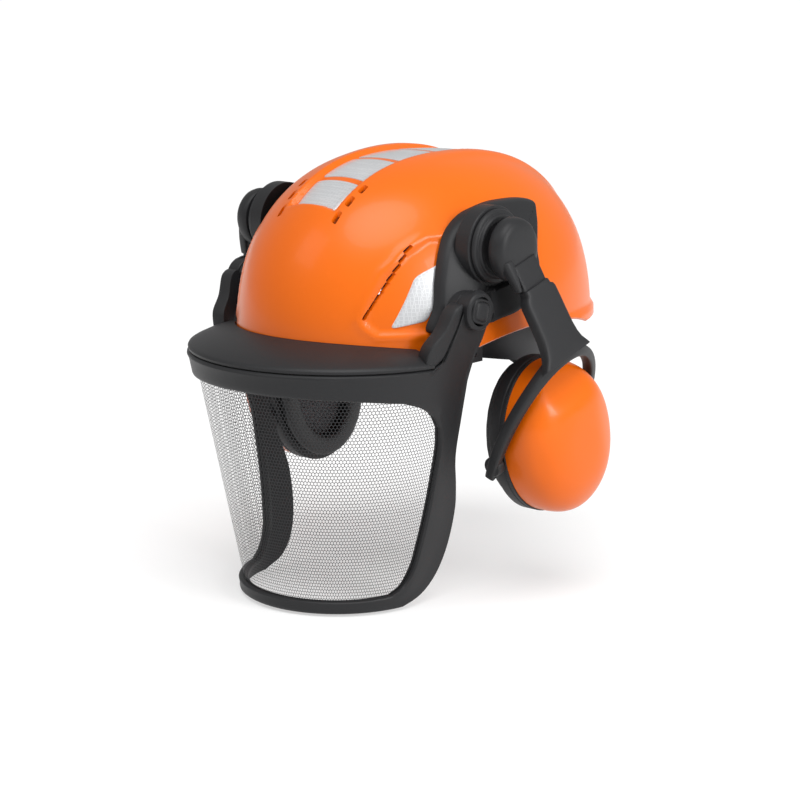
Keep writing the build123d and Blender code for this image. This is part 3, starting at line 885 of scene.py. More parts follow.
# ---------------------------------------------------------------- shell and reflectors
@dataclass
class Shell:
    """The moulded shell with its crown channel, side panels and vents, and its reflectors."""

    finishes: Finishes
    wall: float = 2.8
    rim_z: float = -2.0
    channel_depth: float = 4.2
    panel_depth: float = 1.7
    columns: int = 336
    rows: int = 112

    CHANNEL = ((-20.0, -104.0), (20.0, -104.0), (29.0, 92.0), (-29.0, 92.0))
    PANEL = ((-72, 68), (-81, 63), (-88, 59), (-95, 52), (-101, 47), (-106, 40), (-109, 35), (-112, 29),
             (-114, 24), (-116, 18), (-114, 14), (-110, 10), (-91, 10), (-70, 12), (-40, 20), (-40, 68))
    CROWN_PATCHES = (((-102, 17), (-78, 19)), ((-73, 19.5), (-42, 21.5)),
                     ((-37, 22), (-1, 24)), ((5, 24), (44, 26)))
    SIDE_PATCH = ((-60, 56), (-81, 47), (-86, 44), (-103, 13), (-83, 17))

    def relief(self, points: Points) -> Points:
        """How far the outer face stands out of the plain form.

        Args:
            points: Points of the plain form in mm.

        Returns:
            Lifts in mm.
        """
        x, y, z = points[..., 0], points[..., 1], points[..., 2]
        inner = inside_by(x, y, self.CHANNEL)
        high = step_up(z, 30.0, 50.0)
        lift = -self.channel_depth * step_up(inner, -1.2, 2.0) * high
        shoulder = np.exp(-((inner + 9.0) / 6.0) ** 2) * step_up(y, -50.0, 30.0) * high
        lift = lift + 1.6 * shoulder
        panel = inside_by(y, z, self.PANEL)
        flank = step_up(np.abs(x), 35.0, 45.0)
        lift = lift - self.panel_depth * step_up(panel, -0.6, 1.6) * flank
        lift = lift + 0.9 * np.exp(-((panel + 2.6) / 1.6) ** 2) * flank * step_up(-y, 70.0, 84.0)
        lip = step_up(y, 18.0, 30.0) * (1.0 - step_up(z, 3.0, 7.0))
        return lift + 2.3 * lip

    def rim(self, y: Points) -> Points:
        """Height of the rim in mm, arched over each ear."""
        half, rise, middle = 60.0, 9.0, 10.0
        radius = (half ** 2 + rise ** 2) / (2.0 * rise)
        room = np.maximum(radius ** 2 - (y - middle) ** 2, 0.0)
        return self.rim_z + np.maximum(rise - radius + np.sqrt(room), 0.0)

    def mesh(self) -> Mesh:
        """Outer face, rim and inner face as one closed skin."""
        turn = np.linspace(0.0, 2.0 * math.pi, self.columns, endpoint=False)
        foot_y = np.where(np.cos(turn) > 0.0, -DOME.front, -DOME.back) * np.cos(turn)
        up = (self.rim(foot_y) - DOME.base) / DOME.rise
        low = np.arcsin(up ** (DOME.power / 2.0))
        parts = np.linspace(0.0, 1.0, self.rows)[:, None]
        climb = low + (math.pi / 2.0 - low) * parts
        turns = np.broadcast_to(turn, climb.shape)
        lift = self.relief(DOME.point(turns, climb, np.zeros_like(climb)))
        outer = DOME.point(turns, climb, lift)
        inner = DOME.point(turns, climb, lift - self.wall)
        bead = (outer[0] + inner[0]) / 2.0 - np.array([0.0, 0.0, 0.9])
        skin = np.concatenate([inner[::-1], bead[None], outer])
        return Mesh().add(skin * MM, grid_faces(len(skin), self.columns, wrap_cols=True))

    def vents(self) -> Mesh:
        """Solids of the vent slots."""
        cutters = Mesh()
        for side in Side:
            for step in range(8):
                tilt = math.radians(38.0 + 3.0 * step)
                across = (0.0, math.cos(tilt), math.sin(tilt))
                along = (0.0, -math.sin(tilt), math.cos(tilt))
                rings = [rounded_ring((side.value * far, -86.0 - 4.0 * step, 62.0 - 5.7 * step),
                                      across, along, 3.6, 1.25, 5.0, 16) * MM for far in (52.0, 96.0)]
                cutters.loft(rings)
            for step in range(3):
                rings = [rounded_ring((side.value * (24.5 + 1.2 * step), -106.0 + 11.0 * step, far),
                                      (1.0, 0.0, 0.0), (0.0, 1.0, 0.0), 2.0, 3.5, 5.0, 16) * MM
                         for far in (58.0, 112.0)]
                cutters.loft(rings)
            for step in range(4):
                rings = [rounded_ring((side.value * (14.0 + 14.0 * step), far, 40.0),
                                      (1.0, 0.0, 0.0), (0.0, 0.0, 1.0), 3.6, 1.5, 5.0, 16) * MM
                         for far in (84.0, 160.0)]
                cutters.loft(rings)
        return cutters

    def build(self) -> None:
        """Make the shell and its reflectors."""
        made = self.mesh().piece("shell_skin", "root", self.finishes.shell, "shell_plastic", ["shell"])
        carve(made, self.vents(), 50.0)
        for number, ((y0, w0), (y1, w1)) in enumerate(self.CROWN_PATCHES, 1):
            corners = [(-w0, y0), (w0, y0), (w1, y1), (-w1, y1)]
            stands_for = ["crown_reflectors"] if number == 1 else []
            self.patch(corners, lambda a, b, lift: DOME.height(a, b, lift - self.channel_depth)).piece(
                f"crown_reflector_{number}", "root", self.finishes.film, "reflective_film", stands_for)
        left = self.patch(self.SIDE_PATCH, lambda a, b, lift: DOME.side(a, b, lift - self.panel_depth))
        left.piece("side_reflector_left", "root", self.finishes.film, "reflective_film", ["side_reflectors"])
        mirrored(left).piece("side_reflector_right", "root", self.finishes.film, "reflective_film")

    @staticmethod
    def patch(corners: Outline, surface: Callable[[Points, Points, Points], Points]) -> Mesh:
        """A thin sheet with rounded corners on a surface."""
        given = np.asarray(corners, float)
        path = []
        for number, corner in enumerate(given):
            for other in (given[number - 1], given[(number + 1) % len(given)]):
                way = other - corner
                path.append(corner + way / np.linalg.norm(way) * 3.0)
        ring = []
        for number in range(0, len(path), 2):
            corner = given[number // 2]
            start, end = path[number], path[number + 1]
            for part in np.linspace(0.0, 1.0, 6):
                ring.append((1 - part) ** 2 * start + 2 * part * (1 - part) * corner + part ** 2 * end)
            nearest = path[(number + 2) % len(path)]
            for part in np.linspace(0.0, 1.0, 12)[1:-1]:
                ring.append(end + (nearest - end) * part)
        return plate(np.array(ring), surface, [(0.0, 0.05), (0.1, 0.42), (0.4, 0.6)], -0.1, 10)


# ---------------------------------------------------------------- adapters and turrets
@dataclass
class Adapter:
    """Plate on each side of the shell that carries the turret and the visor's pivot."""

    finishes: Finishes
    thick: float = 6.0
    seat_x: float = 98.7

    OUTLINE = ((19.6, 84), (-13, 87.5), (-36, 84), (-48, 80), (-60, 72), (-69, 60), (-76, 43), (-80, 25),
               (-85, 11), (-72, 8.5), (-60, 8), (-41, 14), (-18, 20), (-2, 35), (3.5, 44), (5, 55), (15.7, 75))

    def surface(self, y: Points, z: Points, lift: Points) -> Points:
        """Points of the plate, kept flat under the turret and the visor's boss."""
        points = DOME.side(y, z, lift)
        near_turret = np.hypot(y - MUFF.turret_y, z - MUFF.turret_z) < 27.0
        near_visor = y < -45.0
        points[..., 0] = np.where(near_turret | near_visor, np.minimum(points[..., 0], self.seat_x),
                                  points[..., 0])
        return points

    def build(self, side: Side) -> None:
        """Make one side's plate with its seat and boss."""
        profile = [(0.0, 0.2), (0.0, 3.6), (0.5, 5.0), (1.6, 5.8), (2.6, self.thick)]
        mesh = plate(smooth_ring(self.OUTLINE, 9), self.surface, profile, 0.15, 16)
        seat = [(9.2, 92.0), (26.0, 88.0), (26.0, 98.3), (25.4, 99.0), (9.2, 99.0)]
        mesh.lathe((0.0, MUFF.turret_y * MM, MUFF.turret_z * MM), (1, 0, 0), seat)
        boss = [(4.1, 92.5), (12.0, 90.0), (12.0, 98.5), (11.5, 99.0), (4.1, 99.0)]
        mesh.lathe((0.0, -64.0 * MM, 24.0 * MM), (1, 0, 0), boss)
        if side is Side.RIGHT:
            mesh = mirrored(mesh)
        mesh.piece(f"adapter_plate_{side.word}", "root", self.finishes.black, "black_plastic",
                   [f"adapter_{side.word}"])


# ---------------------------------------------------------------- visor
@dataclass
class Visor:
    """Frame, etched screen, clamping rim, brow guard and push buttons."""

    finishes: Finishes
    thick: float = 3.5
    screen_pitch: float = 2.5
    wire: float = 0.42

    TOP = ((-175.0, -10.0), (-150.0, -10.0), (-120.0, -10.0), (-95.0, -10.0))
    ARM = ((-95.0, -10.0), (-86, -4), (-80.5, 8), (-77, 20), (-74, 31), (-64, 37.5), (-54, 33), (-50, 22),
           (-52.5, 8), (-58, -6), (-61, -20))
    REAR = ((-61, -20), (-61, -46), (-60, -73), (-54, -96), (-51, -112), (-53, -140), (-60, -158),
            (-71, -169), (-88, -175))
    BOTTOM = ((-88.0, -175.0), (-120.0, -175.0), (-143.0, -175.0))
    WINDOW_TOP = ((-175.0, -25.0), (-140.0, -27.5), (-112.0, -31.0))
    WINDOW_FRONT = ((-112.0, -31.0), (-98, -36), (-88, -42), (-80, -52))
    WINDOW_REAR = ((-80, -52), (-77, -66), (-77, -88), (-78, -110), (-80, -130), (-83, -148), (-90, -160),
                   (-98, -165))
    WINDOW_BOTTOM = ((-98.0, -165.0), (-120.0, -166.0), (-145.0, -166.0))
    WING = ((-100, -10), (-95.5, -9.5), (-86.8, -3.4), (-81.3, 8), (-78, 20), (-77.5, 30), (-84, 27.5),
            (-91, 14), (-100, 3))

    def half_loop(self, stretches: Sequence[Outline], counts: Sequence[int]) -> Points:
        """Points of one half of a loop, from the top's middle to the bottom's middle.

        Args:
            stretches: Side-view outlines in order.
            counts: Points in each stretch.

        Returns:
            (along, z) points.
        """
        made = []
        for number, (stretch, count) in enumerate(zip(stretches, counts)):
            path = VISOR.unrolled(stretch)
            if number == 0:
                path = np.vstack([[0.0, path[0, 1]], path[path[:, 0] > 1.0]])
            if number == len(stretches) - 1:
                path = np.vstack([path[path[:, 0] > 1.0], [0.0, path[-1, 1]]])
            points = resample(path, count + 1)
            made.append(points if number == len(stretches) - 1 else points[:-1])
        return np.concatenate(made)

    def full_loop(self, half: Points) -> Points:
        """Close a half loop with its mirror image."""
        back = half[::-1][1:-1] * np.array([-1.0, 1.0])
        return np.concatenate([half, back])

    def loops(self) -> tuple[Points, Points]:
        """Outer edge and window edge of the frame, point for point."""
        counts = (44, 46, 60, 40)
        outer = self.half_loop((self.TOP, self.ARM, self.REAR, self.BOTTOM), counts)
        window = self.half_loop((self.WINDOW_TOP, self.WINDOW_FRONT, self.WINDOW_REAR, self.WINDOW_BOTTOM),
                                counts)
        return self.full_loop(outer), self.full_loop(window)

    def frame_mesh(self) -> Mesh:
        """The frame as a closed band from the window's edge to the outer edge."""
        outer, window = self.loops()
        width = np.linalg.norm(outer - window, axis=1)
        parts = [0.0, 0.04, 0.12, 0.3, 0.5, 0.7, 0.86, 0.93, 0.97, 1.0]
        rings = []
        for part in parts:
            place = window + (outer - window) * part
            inset = np.minimum(part, 1.0 - part) * width
            lift = self.thick - 1.5 * (1.0 - np.clip(inset / 1.6, 0.0, 1.0)) ** 2
            from_edge = (1.0 - part) * width
            bead = np.exp(-((from_edge - 2.6) / 1.5) ** 2) * np.clip(width / 12.0, 0.0, 1.0)
            rings.append(VISOR.point(place[:, 0], place[:, 1], lift + 0.7 * bead))
        for part in reversed(parts):
            place = window + (outer - window) * part
            rings.append(VISOR.point(place[:, 0], place[:, 1], np.zeros(len(place))))
        sections = np.stack(rings, axis=1) * MM
        mesh = Mesh().closed_loft(list(sections))
        boss = [(4.2, 99.4), (12.0, 99.4), (12.5, 100.0), (12.5, 108.8), (11.6, 110.0), (9.4, 110.0),
                (9.2, 109.4), (9.2, 105.2), (4.2, 105.0)]
        for side in Side:
            mesh.lathe((0.0, -64.0 * MM, 24.0 * MM), (side.value, 0, 0), boss)
        return mesh

    def clamp_mesh(self) -> Mesh:
        """The thin rim inside the screen."""
        _, window = self.loops()
        outer, _ = self.loops()
        way = outer - window
        way /= np.linalg.norm(way, axis=1, keepdims=True)
        rings = []
        for far, lift in ((0.2, -0.75), (4.8, -0.75), (4.8, -2.4), (4.0, -3.0), (1.0, -3.0), (0.2, -2.4)):
            place = window + way * far
            rings.append(VISOR.point(place[:, 0], place[:, 1], np.full(len(place), lift)))
        return Mesh().closed_loft(list(np.stack(rings, axis=1) * MM))

    def screen_mesh(self) -> Mesh:
        """The etched sheet as a net of six-sided holes."""
        _, window = self.loops()
        pitch = self.screen_pitch
        rows = np.arange(-168.0, -20.0, pitch * math.sqrt(3.0) / 2.0)
        corners: dict[tuple[int, int], int] = {}
        flat: list[tuple[float, float]] = []
        faces: list[tuple[int, ...]] = []
        shrink = 1.0 - self.wire / pitch
        turns = np.radians(np.arange(6) * 60.0 + 30.0)
        reach = pitch / math.sqrt(3.0)
        for row_number, z in enumerate(rows):
            columns = np.arange(-160.0, 160.0, pitch) + (pitch / 2.0 if row_number % 2 else 0.0)
            within = inside_by(columns, np.full(len(columns), z), window) > -3.2
            for column in columns[within]:
                outer, inner = [], []
                for turn in turns:
                    a, b = column + reach * math.cos(turn), z + reach * math.sin(turn)
                    key = (round(a * 50), round(b * 50))
                    if key not in corners:
                        corners[key] = len(flat)
                        flat.append((a, b))
                    outer.append(corners[key])
                for turn in turns:
                    inner.append(len(flat))
                    flat.append((column + reach * shrink * math.cos(turn), z + reach * shrink * math.sin(turn)))
                for number in range(6):
                    after = (number + 1) % 6
                    faces.append((outer[number], outer[after], inner[after], inner[number]))
        spread = np.array(flat)
        points = VISOR.point(spread[:, 0], spread[:, 1], np.full(len(spread), -0.25))
        return Mesh().add(points * MM, faces)

    def brow_mesh(self) -> Mesh:
        """The sloping roof between the shell and the visor."""
        lip_r, lip_z, top_r, top_z = 100.5, -6.0, 60.0, 6.5
        sections = []
        for turn in np.linspace(math.radians(-80.0), math.radians(80.0), 121):
            def reach(radius: float) -> tuple[float, float]:
                """Plan point at a radius from the brow's centre."""
                return radius * math.sin(turn), -78.0 - radius * math.cos(turn)
            low, high = 0.0, 1.0
            for _ in range(26):
                part = (low + high) / 2.0
                x, y = reach(lip_r + (top_r - lip_r) * part)
                z = lip_z + (top_z - lip_z) * part
                if DOME.outside(np.array(x), np.array(y), np.array(z), 1.3) > 0.0:
                    low = part
                else:
                    high = part
            back_r = lip_r + (top_r - lip_r) * low
            back_z = lip_z + (top_z - lip_z) * low
            under_z = min(-10.5 + 14.0 * (92.5 - back_r) / 36.5, back_z - 2.0)
            crown = 0.8
            profile = [(back_r, back_z), ((back_r * 2 + lip_r) / 3, (back_z * 2 + lip_z) / 3 + crown),
                       ((back_r + lip_r * 2) / 3, (back_z + lip_z * 2) / 3 + crown), (lip_r - 2.2, lip_z + 0.5),
                       (lip_r - 0.6, lip_z - 0.5), (lip_r, lip_z - 1.6), (lip_r - 0.3, lip_z - 3.2),
                       (lip_r - 1.4, -10.0), (93.5, -10.0), (92.5, -9.9),
                       ((92.5 + back_r) / 2, (-10.5 + under_z) / 2 + 0.2), (back_r, under_z)]
            sections.append(np.array([(*reach(radius), z) for radius, z in profile]) * MM)
        return Mesh().loft(sections)

    def wing_mesh(self) -> Mesh:
        """The brow's wing in front of the left arm."""
        def surface(y: Points, z: Points, lift: Points) -> Points:
            """Points between the visor's wall and the shell."""
            points = VISOR.point(VISOR.along(y, z), z, lift)
            shell_x = DOME.side(y, z, np.full(len(y), 8.3))[..., 0]
            points[..., 0] = np.maximum(points[..., 0], np.minimum(shell_x, points[..., 0] + 9.0))
            return points
        profile = [(0.0, -6.0), (0.0, 1.6), (0.4, 2.6), (1.2, 3.1)]
        return plate(smooth_ring(self.WING, 7), surface, profile, -7.0, 6)

    def button(self, side: Side) -> None:
        """The push button over one pivot: a rounded four-sided cap with a raised pad."""
        tilt = math.radians(-18.0)
        across = np.array([0.0, math.cos(tilt), math.sin(tilt)])
        along = np.array([0.0, -math.sin(tilt), math.cos(tilt)])
        rings = []
        for x, size in ((107.7, 8.6), (110.3, 8.6), (111.0, 8.1), (111.0, 7.0), (110.5, 6.7), (110.5, 6.3),
                        (111.2, 5.9), (111.6, 5.2), (111.7, 3.0)):
            centre = (x * side.value, -64.0, 24.0)
            rings.append(rounded_ring(centre, across, along, size, size * 0.94, 3.2, 40) * MM)
        Mesh().loft(rings).piece(f"push_button_{side.word}", f"button_{side.word}", self.finishes.black,
                                 "black_plastic", [f"visor_button_{side.word}"])

    def build(self) -> None:
        """Make the visor's pieces."""
        black = self.finishes.black
        self.frame_mesh().piece("visor_rim", "visor", black, "black_plastic", ["visor_frame"], 32.0)
        self.clamp_mesh().piece("screen_clamp", "visor", black, "black_plastic", ["visor_clamp"])
        self.screen_mesh().piece("screen_net", "visor", self.finishes.screen, "screen_steel", ["visor_screen"])
        self.brow_mesh().piece("brow_roof", "visor", black, "black_plastic", ["brow_guard"])
        wing = self.wing_mesh()
        wing.piece("brow_wing_left", "visor", black, "black_plastic")
        mirrored(wing).piece("brow_wing_right", "visor", black, "black_plastic")
        for side in Side:
            self.button(side)


# ---------------------------------------------------------------- ear muffs
@dataclass
class Muff:
    """One ear muff: turret, arm, yoke, cup, cushion and foam."""

    finishes: Finishes
    side: Side

    def finish_piece(self, rings: Sequence[Points], name: str, body: str, material: bpy.types.Material,
                     slot: str, stands_for: Sequence[str], closed: bool = False,
                     crease: float = 38.0) -> bpy.types.Object:
        """Skin rings given in the hanging frame and make the piece."""
        placed = [MUFF.place(ring, self.side) for ring in rings]
        mesh = Mesh().closed_loft(placed) if closed else Mesh().loft(placed)
        word = self.side.word
        return mesh.piece(f"{name}_{word}", f"{body}_{word}", material, slot,
                          [f"{node}_{word}" for node in stands_for], crease)

    def turned(self, profile: Outline, y: float = 0.0, z: float = 0.0, steps: int = 80,
               oval: Optional[Callable[[Points], Points]] = None) -> list[Points]:
        """Rings of a form turned about the outward axis.

        Args:
            profile: Pairs of radius and distance from the middle plane, in mm.
            y: Axis's place across.
            z: Axis's place down.
            steps: Points round the axis.
            oval: Changes the radius with the angle.

        Returns:
            Rings in the hanging frame.
        """
        turn = np.linspace(0.0, 2.0 * math.pi, steps, endpoint=False)
        shape = oval(turn) if oval else np.ones(steps)
        rings = []
        for radius, x in profile:
            rings.append(np.stack([np.full(steps, x), y + radius * shape * np.sin(turn),
                                   z + radius * shape * np.cos(turn)], axis=1))
        return rings

    def turret(self) -> None:
        """Stepped disc that turns in the adapter, with the knuckle's lug."""
        profile = [(0.01, 94.2), (8.6, 94.2), (9.0, 94.6), (9.0, 99.3), (23.4, 99.3), (24.0, 99.8), (24.0, 101.6),
                   (23.4, 102.4), (22.6, 102.7), (21.2, 102.7), (20.8, 103.0), (20.6, 104.2), (20.0, 104.8),
                   (18.0, 104.9), (17.4, 104.6), (17.2, 103.9), (0.01, 103.9)]
        placed = [MUFF.place(ring, self.side) for ring in self.turned(profile)]
        mesh = Mesh().loft(placed)
        rings = []
        for x, half in ((102.0, 7.4), (106.0, 7.0), (111.0, 6.8), (115.0, 5.6), (117.0, 3.4)):
            rings.append(rounded_ring((x, 0.0, 0.0), (0, 1, 0), (0, 0, 1), 5.9, half, 4.0, 28))
        mesh.loft([MUFF.place(ring, self.side) for ring in rings])
        word = self.side.word
        mesh.piece(f"turret_disc_{word}", f"turret_{word}", self.finishes.black, "black_plastic",
                   [f"turret_{word}"])

    def arm(self) -> None:
        """Domed knuckle, its cheek and the tongue that the yoke slides on."""
        def flat(turn: Points) -> Points:
            """Squarer towards the strut, round above."""
            return 1.0 + 0.06 * step_up(-np.cos(turn), 0.2, 0.9)
        dome = [(0.01, 109.0), (17.5, 109.0), (19.0, 109.5), (19.8, 110.8), (20.0, 113.0), (19.7, 116.0),
                (18.9, 118.4), (17.4, 120.1), (15.2, 120.9), (12.0, 121.2), (6.0, 121.35), (0.01, 121.4)]
        rings = self.turned(dome, steps=88, oval=flat)
        mesh = Mesh().loft([MUFF.place(ring, self.side) for ring in rings])
        tongue = []
        for down, across, out in ((9.0, 11.0, 2.4), (30.0, 11.0, 2.4), (56.5, 10.9, 2.4), (58.0, 10.2, 1.8)):
            tongue.append(self.strut_ring(down, across, out, 8.0))
        mesh.loft([MUFF.place(ring, self.side) for ring in tongue])
        cheek = []
        for down, y, across, out in ((4.0, -13.5, 4.2, 3.6), (12.0, -13.8, 3.4, 3.6), (19.0, -14.0, 2.3, 3.2),
                                     (24.5, -14.2, 1.3, 2.6)):
            cheek.append(self.strut_ring(down, across, out, 3.0, y))
        mesh.loft([MUFF.place(ring, self.side) for ring in cheek])
        word = self.side.word
        mesh.piece(f"knuckle_{word}", f"arm_{word}", self.finishes.black, "black_plastic", [f"arm_{word}"])

    @staticmethod
    def strut_ring(down: float, across: float, out: float, power: float, y: float = 0.0,
                   count: int = 40) -> Points:
        """A rounded-rectangle section of the strut in the hanging frame."""
        plain = rounded_ring((0.0, y, 0.0), (0, 1, 0), (1, 0, 0), across, out, power, count)
        return MUFF.strut(plain[:, 0], plain[:, 1], down)

    def yoke(self) -> None:
        """Flat strut with stepped shoulders, flaring into the arch round the cup."""
        strut = []
        for down, across, out, shift in ((25.9, 10.6, 3.4, 0.0), (26.5, 11.6, 4.2, 0.0), (29.5, 12.0, 4.5, 0.0),
                                         (30.6, 13.6, 4.5, 0.6), (33.0, 15.0, 4.5, 0.2), (36.0, 15.4, 4.5, 0.0),
                                         (50.0, 15.5, 4.5, 0.0), (60.0, 15.8, 4.4, 0.0), (66.0, 16.8, 4.2, 0.0),
                                         (71.0, 18.6, 4.0, 0.0), (75.0, 21.4, 3.8, 0.0), (78.0, 23.6, 3.2, 0.0)):
            strut.append(self.strut_ring(down, across, out, 7.0, shift))
        mesh = Mesh().loft([MUFF.place(ring, self.side) for ring in strut])
        top_x, tilt_x, reach_y, reach_z = 138.5, 105.0, 49.5, 61.0
        sections = []
        for degrees in range(-98, 99, 4):
            angle = math.radians(degrees)

            def spine(value: float) -> Points:
                """The arch's middle line."""
                return np.array([top_x - (top_x - tilt_x) * (1.0 - math.cos(value)), reach_y * math.sin(value),
                                 reach_z * math.cos(value) - MUFF.cup_drop])
            tangent = spine(angle + 0.01) - spine(angle - 0.01)
            tangent /= np.linalg.norm(tangent)
            outward = np.array([0.0, math.sin(angle), math.cos(angle)])
            across = outward - tangent * outward.dot(tangent)
            across /= np.linalg.norm(across)
            side = np.cross(tangent, across)
            top = math.exp(-(degrees / 24.0) ** 2)
            end = max(0.0, abs(degrees) - 80.0) / 18.0
            half_across = 3.4 + 1.6 * top - 1.0 * end
            half_side = 4.0 + 0.6 * top - 0.6 * end
            sections.append(rounded_ring(spine(angle) + across * (1.2 * top), across, side, half_across,
                                         half_side, 4.0, 28))
        mesh.loft([MUFF.place(ring, self.side) for ring in sections])
        for sign in (-1.0, 1.0):
            rings = []
            for y, radius in ((44.9, 6.0), (45.5, 6.6), (50.0, 6.6), (51.2, 5.8), (51.6, 3.4), (51.2, 2.8),
                              (50.8, 2.6)):
                turn = np.linspace(0.0, 2.0 * math.pi, 40, endpoint=False)
                rings.append(np.stack([105.0 + radius * np.cos(turn), np.full(40, sign * y),
                                       radius * np.sin(turn) - MUFF.cup_drop], axis=1))
            mesh.loft([MUFF.place(ring, self.side) for ring in rings])
        word = self.side.word
        mesh.piece(f"yoke_arch_{word}", f"yoke_{word}", self.finishes.black, "black_plastic",
                   [f"yoke_{word}"])

    def base(self) -> None:
        """Black ring between the cushion and the cover."""
        section = ((0.5, 99.6), (0.9, 100.4), (0.9, 107.0), (0.4, 107.6), (0.4, 108.2), (0.9, 108.8), (0.9, 110.4),
                   (0.3, 111.0), (-5.0, 111.0), (-5.0, 102.0), (-17.0, 102.0), (-17.0, 99.2), (-0.4, 99.2))
        turn = np.linspace(0.0, 2.0 * math.pi, 120, endpoint=False)
        rings = [np.stack([MUFF.oval(value, grow, x) for grow, x in section]) for value in turn]
        self.finish_piece(rings, "cup_ring", "cup", self.finishes.black, "black_plastic", ["cup_base"], True)

    def cover(self) -> None:
        """Hollow cover: a squared dome with soft facets on its outer face."""
        depth, power, soft, wall = 34.0, 3.2, 1.3, 2.5
        turn = np.linspace(0.0, 2.0 * math.pi, 132, endpoint=False)

        def height(y: Points, z: Points, drop: float) -> Points:
            """Depth of the cover at a place on its face.

            Args:
                y: Places across, from the cup's middle.
                z: Places up, from the cup's middle.
                drop: How much lower the face is.

            Returns:
                Distances from the cover's foot.
            """
            spread = np.clip(np.hypot(y / (MUFF.half_width - drop), z / (MUFF.half_height - drop)), 0.0, 1.0)
            dome = (depth - drop) * (1.0 - spread ** power) ** (1.0 / power)
            faces = [dome, (depth - 0.4 - drop) - 0.75 * (z - 27.0), (depth - 0.4 - drop) - 1.3 * (-y - 31.0),
                     (depth - 0.4 - drop) - 0.42 * (y - 20.0), (depth - 0.4 - drop) - 0.5 * (-z - 32.0)]
            total = sum(np.exp(-np.minimum(face, 60.0) / soft) for face in faces)
            smooth = -soft * np.log(total)
            return np.maximum(np.where(spread > 0.999, 0.0, np.minimum(smooth, dome)), 0.0)
        rings = []
        for drop, parts in ((wall, np.linspace(0.0, 1.0, 22)), (0.0, np.linspace(1.0, 0.0, 46))):
            for part in parts:
                spread = math.sin(part * math.pi / 2.0) ** 0.8
                y = (MUFF.half_width - drop) * spread * np.sin(turn)
                z = (MUFF.half_height - drop) * spread * np.cos(turn)
                rings.append(np.stack([111.0 + height(y, z, drop), y, z - MUFF.cup_drop], axis=1))
        self.finish_piece(rings, "cup_shell", "cup", self.finishes.shell, "shell_plastic", ["cup_cover"])

    def cushion(self) -> None:
        """Soft sealing ring: crowned, with a sewn seam outside and puckers inside."""
        turn = np.linspace(0.0, 2.0 * math.pi, 180, endpoint=False)
        rings = []
        for value in turn:
            pucker = 0.28 * math.sin(23.0 * value) + 0.18 * math.sin(37.0 * value + 1.0)
            fuller = 0.35 * math.sin(3.0 * value + 0.7)
            ring = []
            for corner in np.linspace(0.0, 2.0 * math.pi, 28, endpoint=False):
                side, face = math.cos(corner), math.sin(corner)
                wide = abs(side) ** 0.72 * math.copysign(1.0, side)
                deep = abs(face) ** 0.72 * math.copysign(1.0, face)
                seam = 0.7 * math.exp(-((face + 0.15) / 0.16) ** 2) if side > 0.5 else 0.0
                inner = pucker if side < -0.3 else 0.25 * pucker
                grow = -10.5 + (7.2 + fuller * 0.3) * wide - seam - inner
                x = 95.2 - 3.9 * deep - (0.2 * fuller if face > 0.0 else 0.0)
                ring.append(MUFF.oval(np.array(value), np.array(grow), np.array(min(x, 99.1))))
            rings.append(np.array(ring))
        made = self.finish_piece(rings, "seal_cushion", "cup", self.finishes.skin, "cushion_skin",
                                 ["cushion"], True, 180.0)

    def foam(self) -> None:
        """Sound-absorbing foam, with a dished and slightly uneven face."""
        steps = 72
        turn = np.linspace(0.0, 2.0 * math.pi, steps, endpoint=False)
        rings = []
        outer = ((1.0, 127.6), (1.0, 104.0), (0.985, 102.9), (0.95, 102.5))
        profile = [(0.02, 128.0), (0.6, 128.0), (0.97, 128.0), *outer, (0.8, 103.2), (0.55, 104.2),
                   (0.3, 104.8), (0.02, 105.0)]
        for size, x in profile:
            uneven = 0.25 * np.sin(5.0 * turn + x) + 0.15 * np.sin(9.0 * turn)
            y = (MUFF.half_width - 9.2) * size * np.sin(turn)
            z = (MUFF.half_height - 9.2) * size * np.cos(turn) - MUFF.cup_drop
            rings.append(np.stack([np.full(steps, x) + uneven * (0.2 < size < 0.9), y, z], axis=1))
        made = self.finish_piece(rings, "absorber_foam", "cup", self.finishes.foam, "acoustic_foam",
                                 ["foam_insert"], False, 60.0)

    def build(self) -> None:
        """Make the muff's pieces."""
        self.turret()
        self.arm()
        self.yoke()
        self.base()
        self.cover()
        self.cushion()
        self.foam()


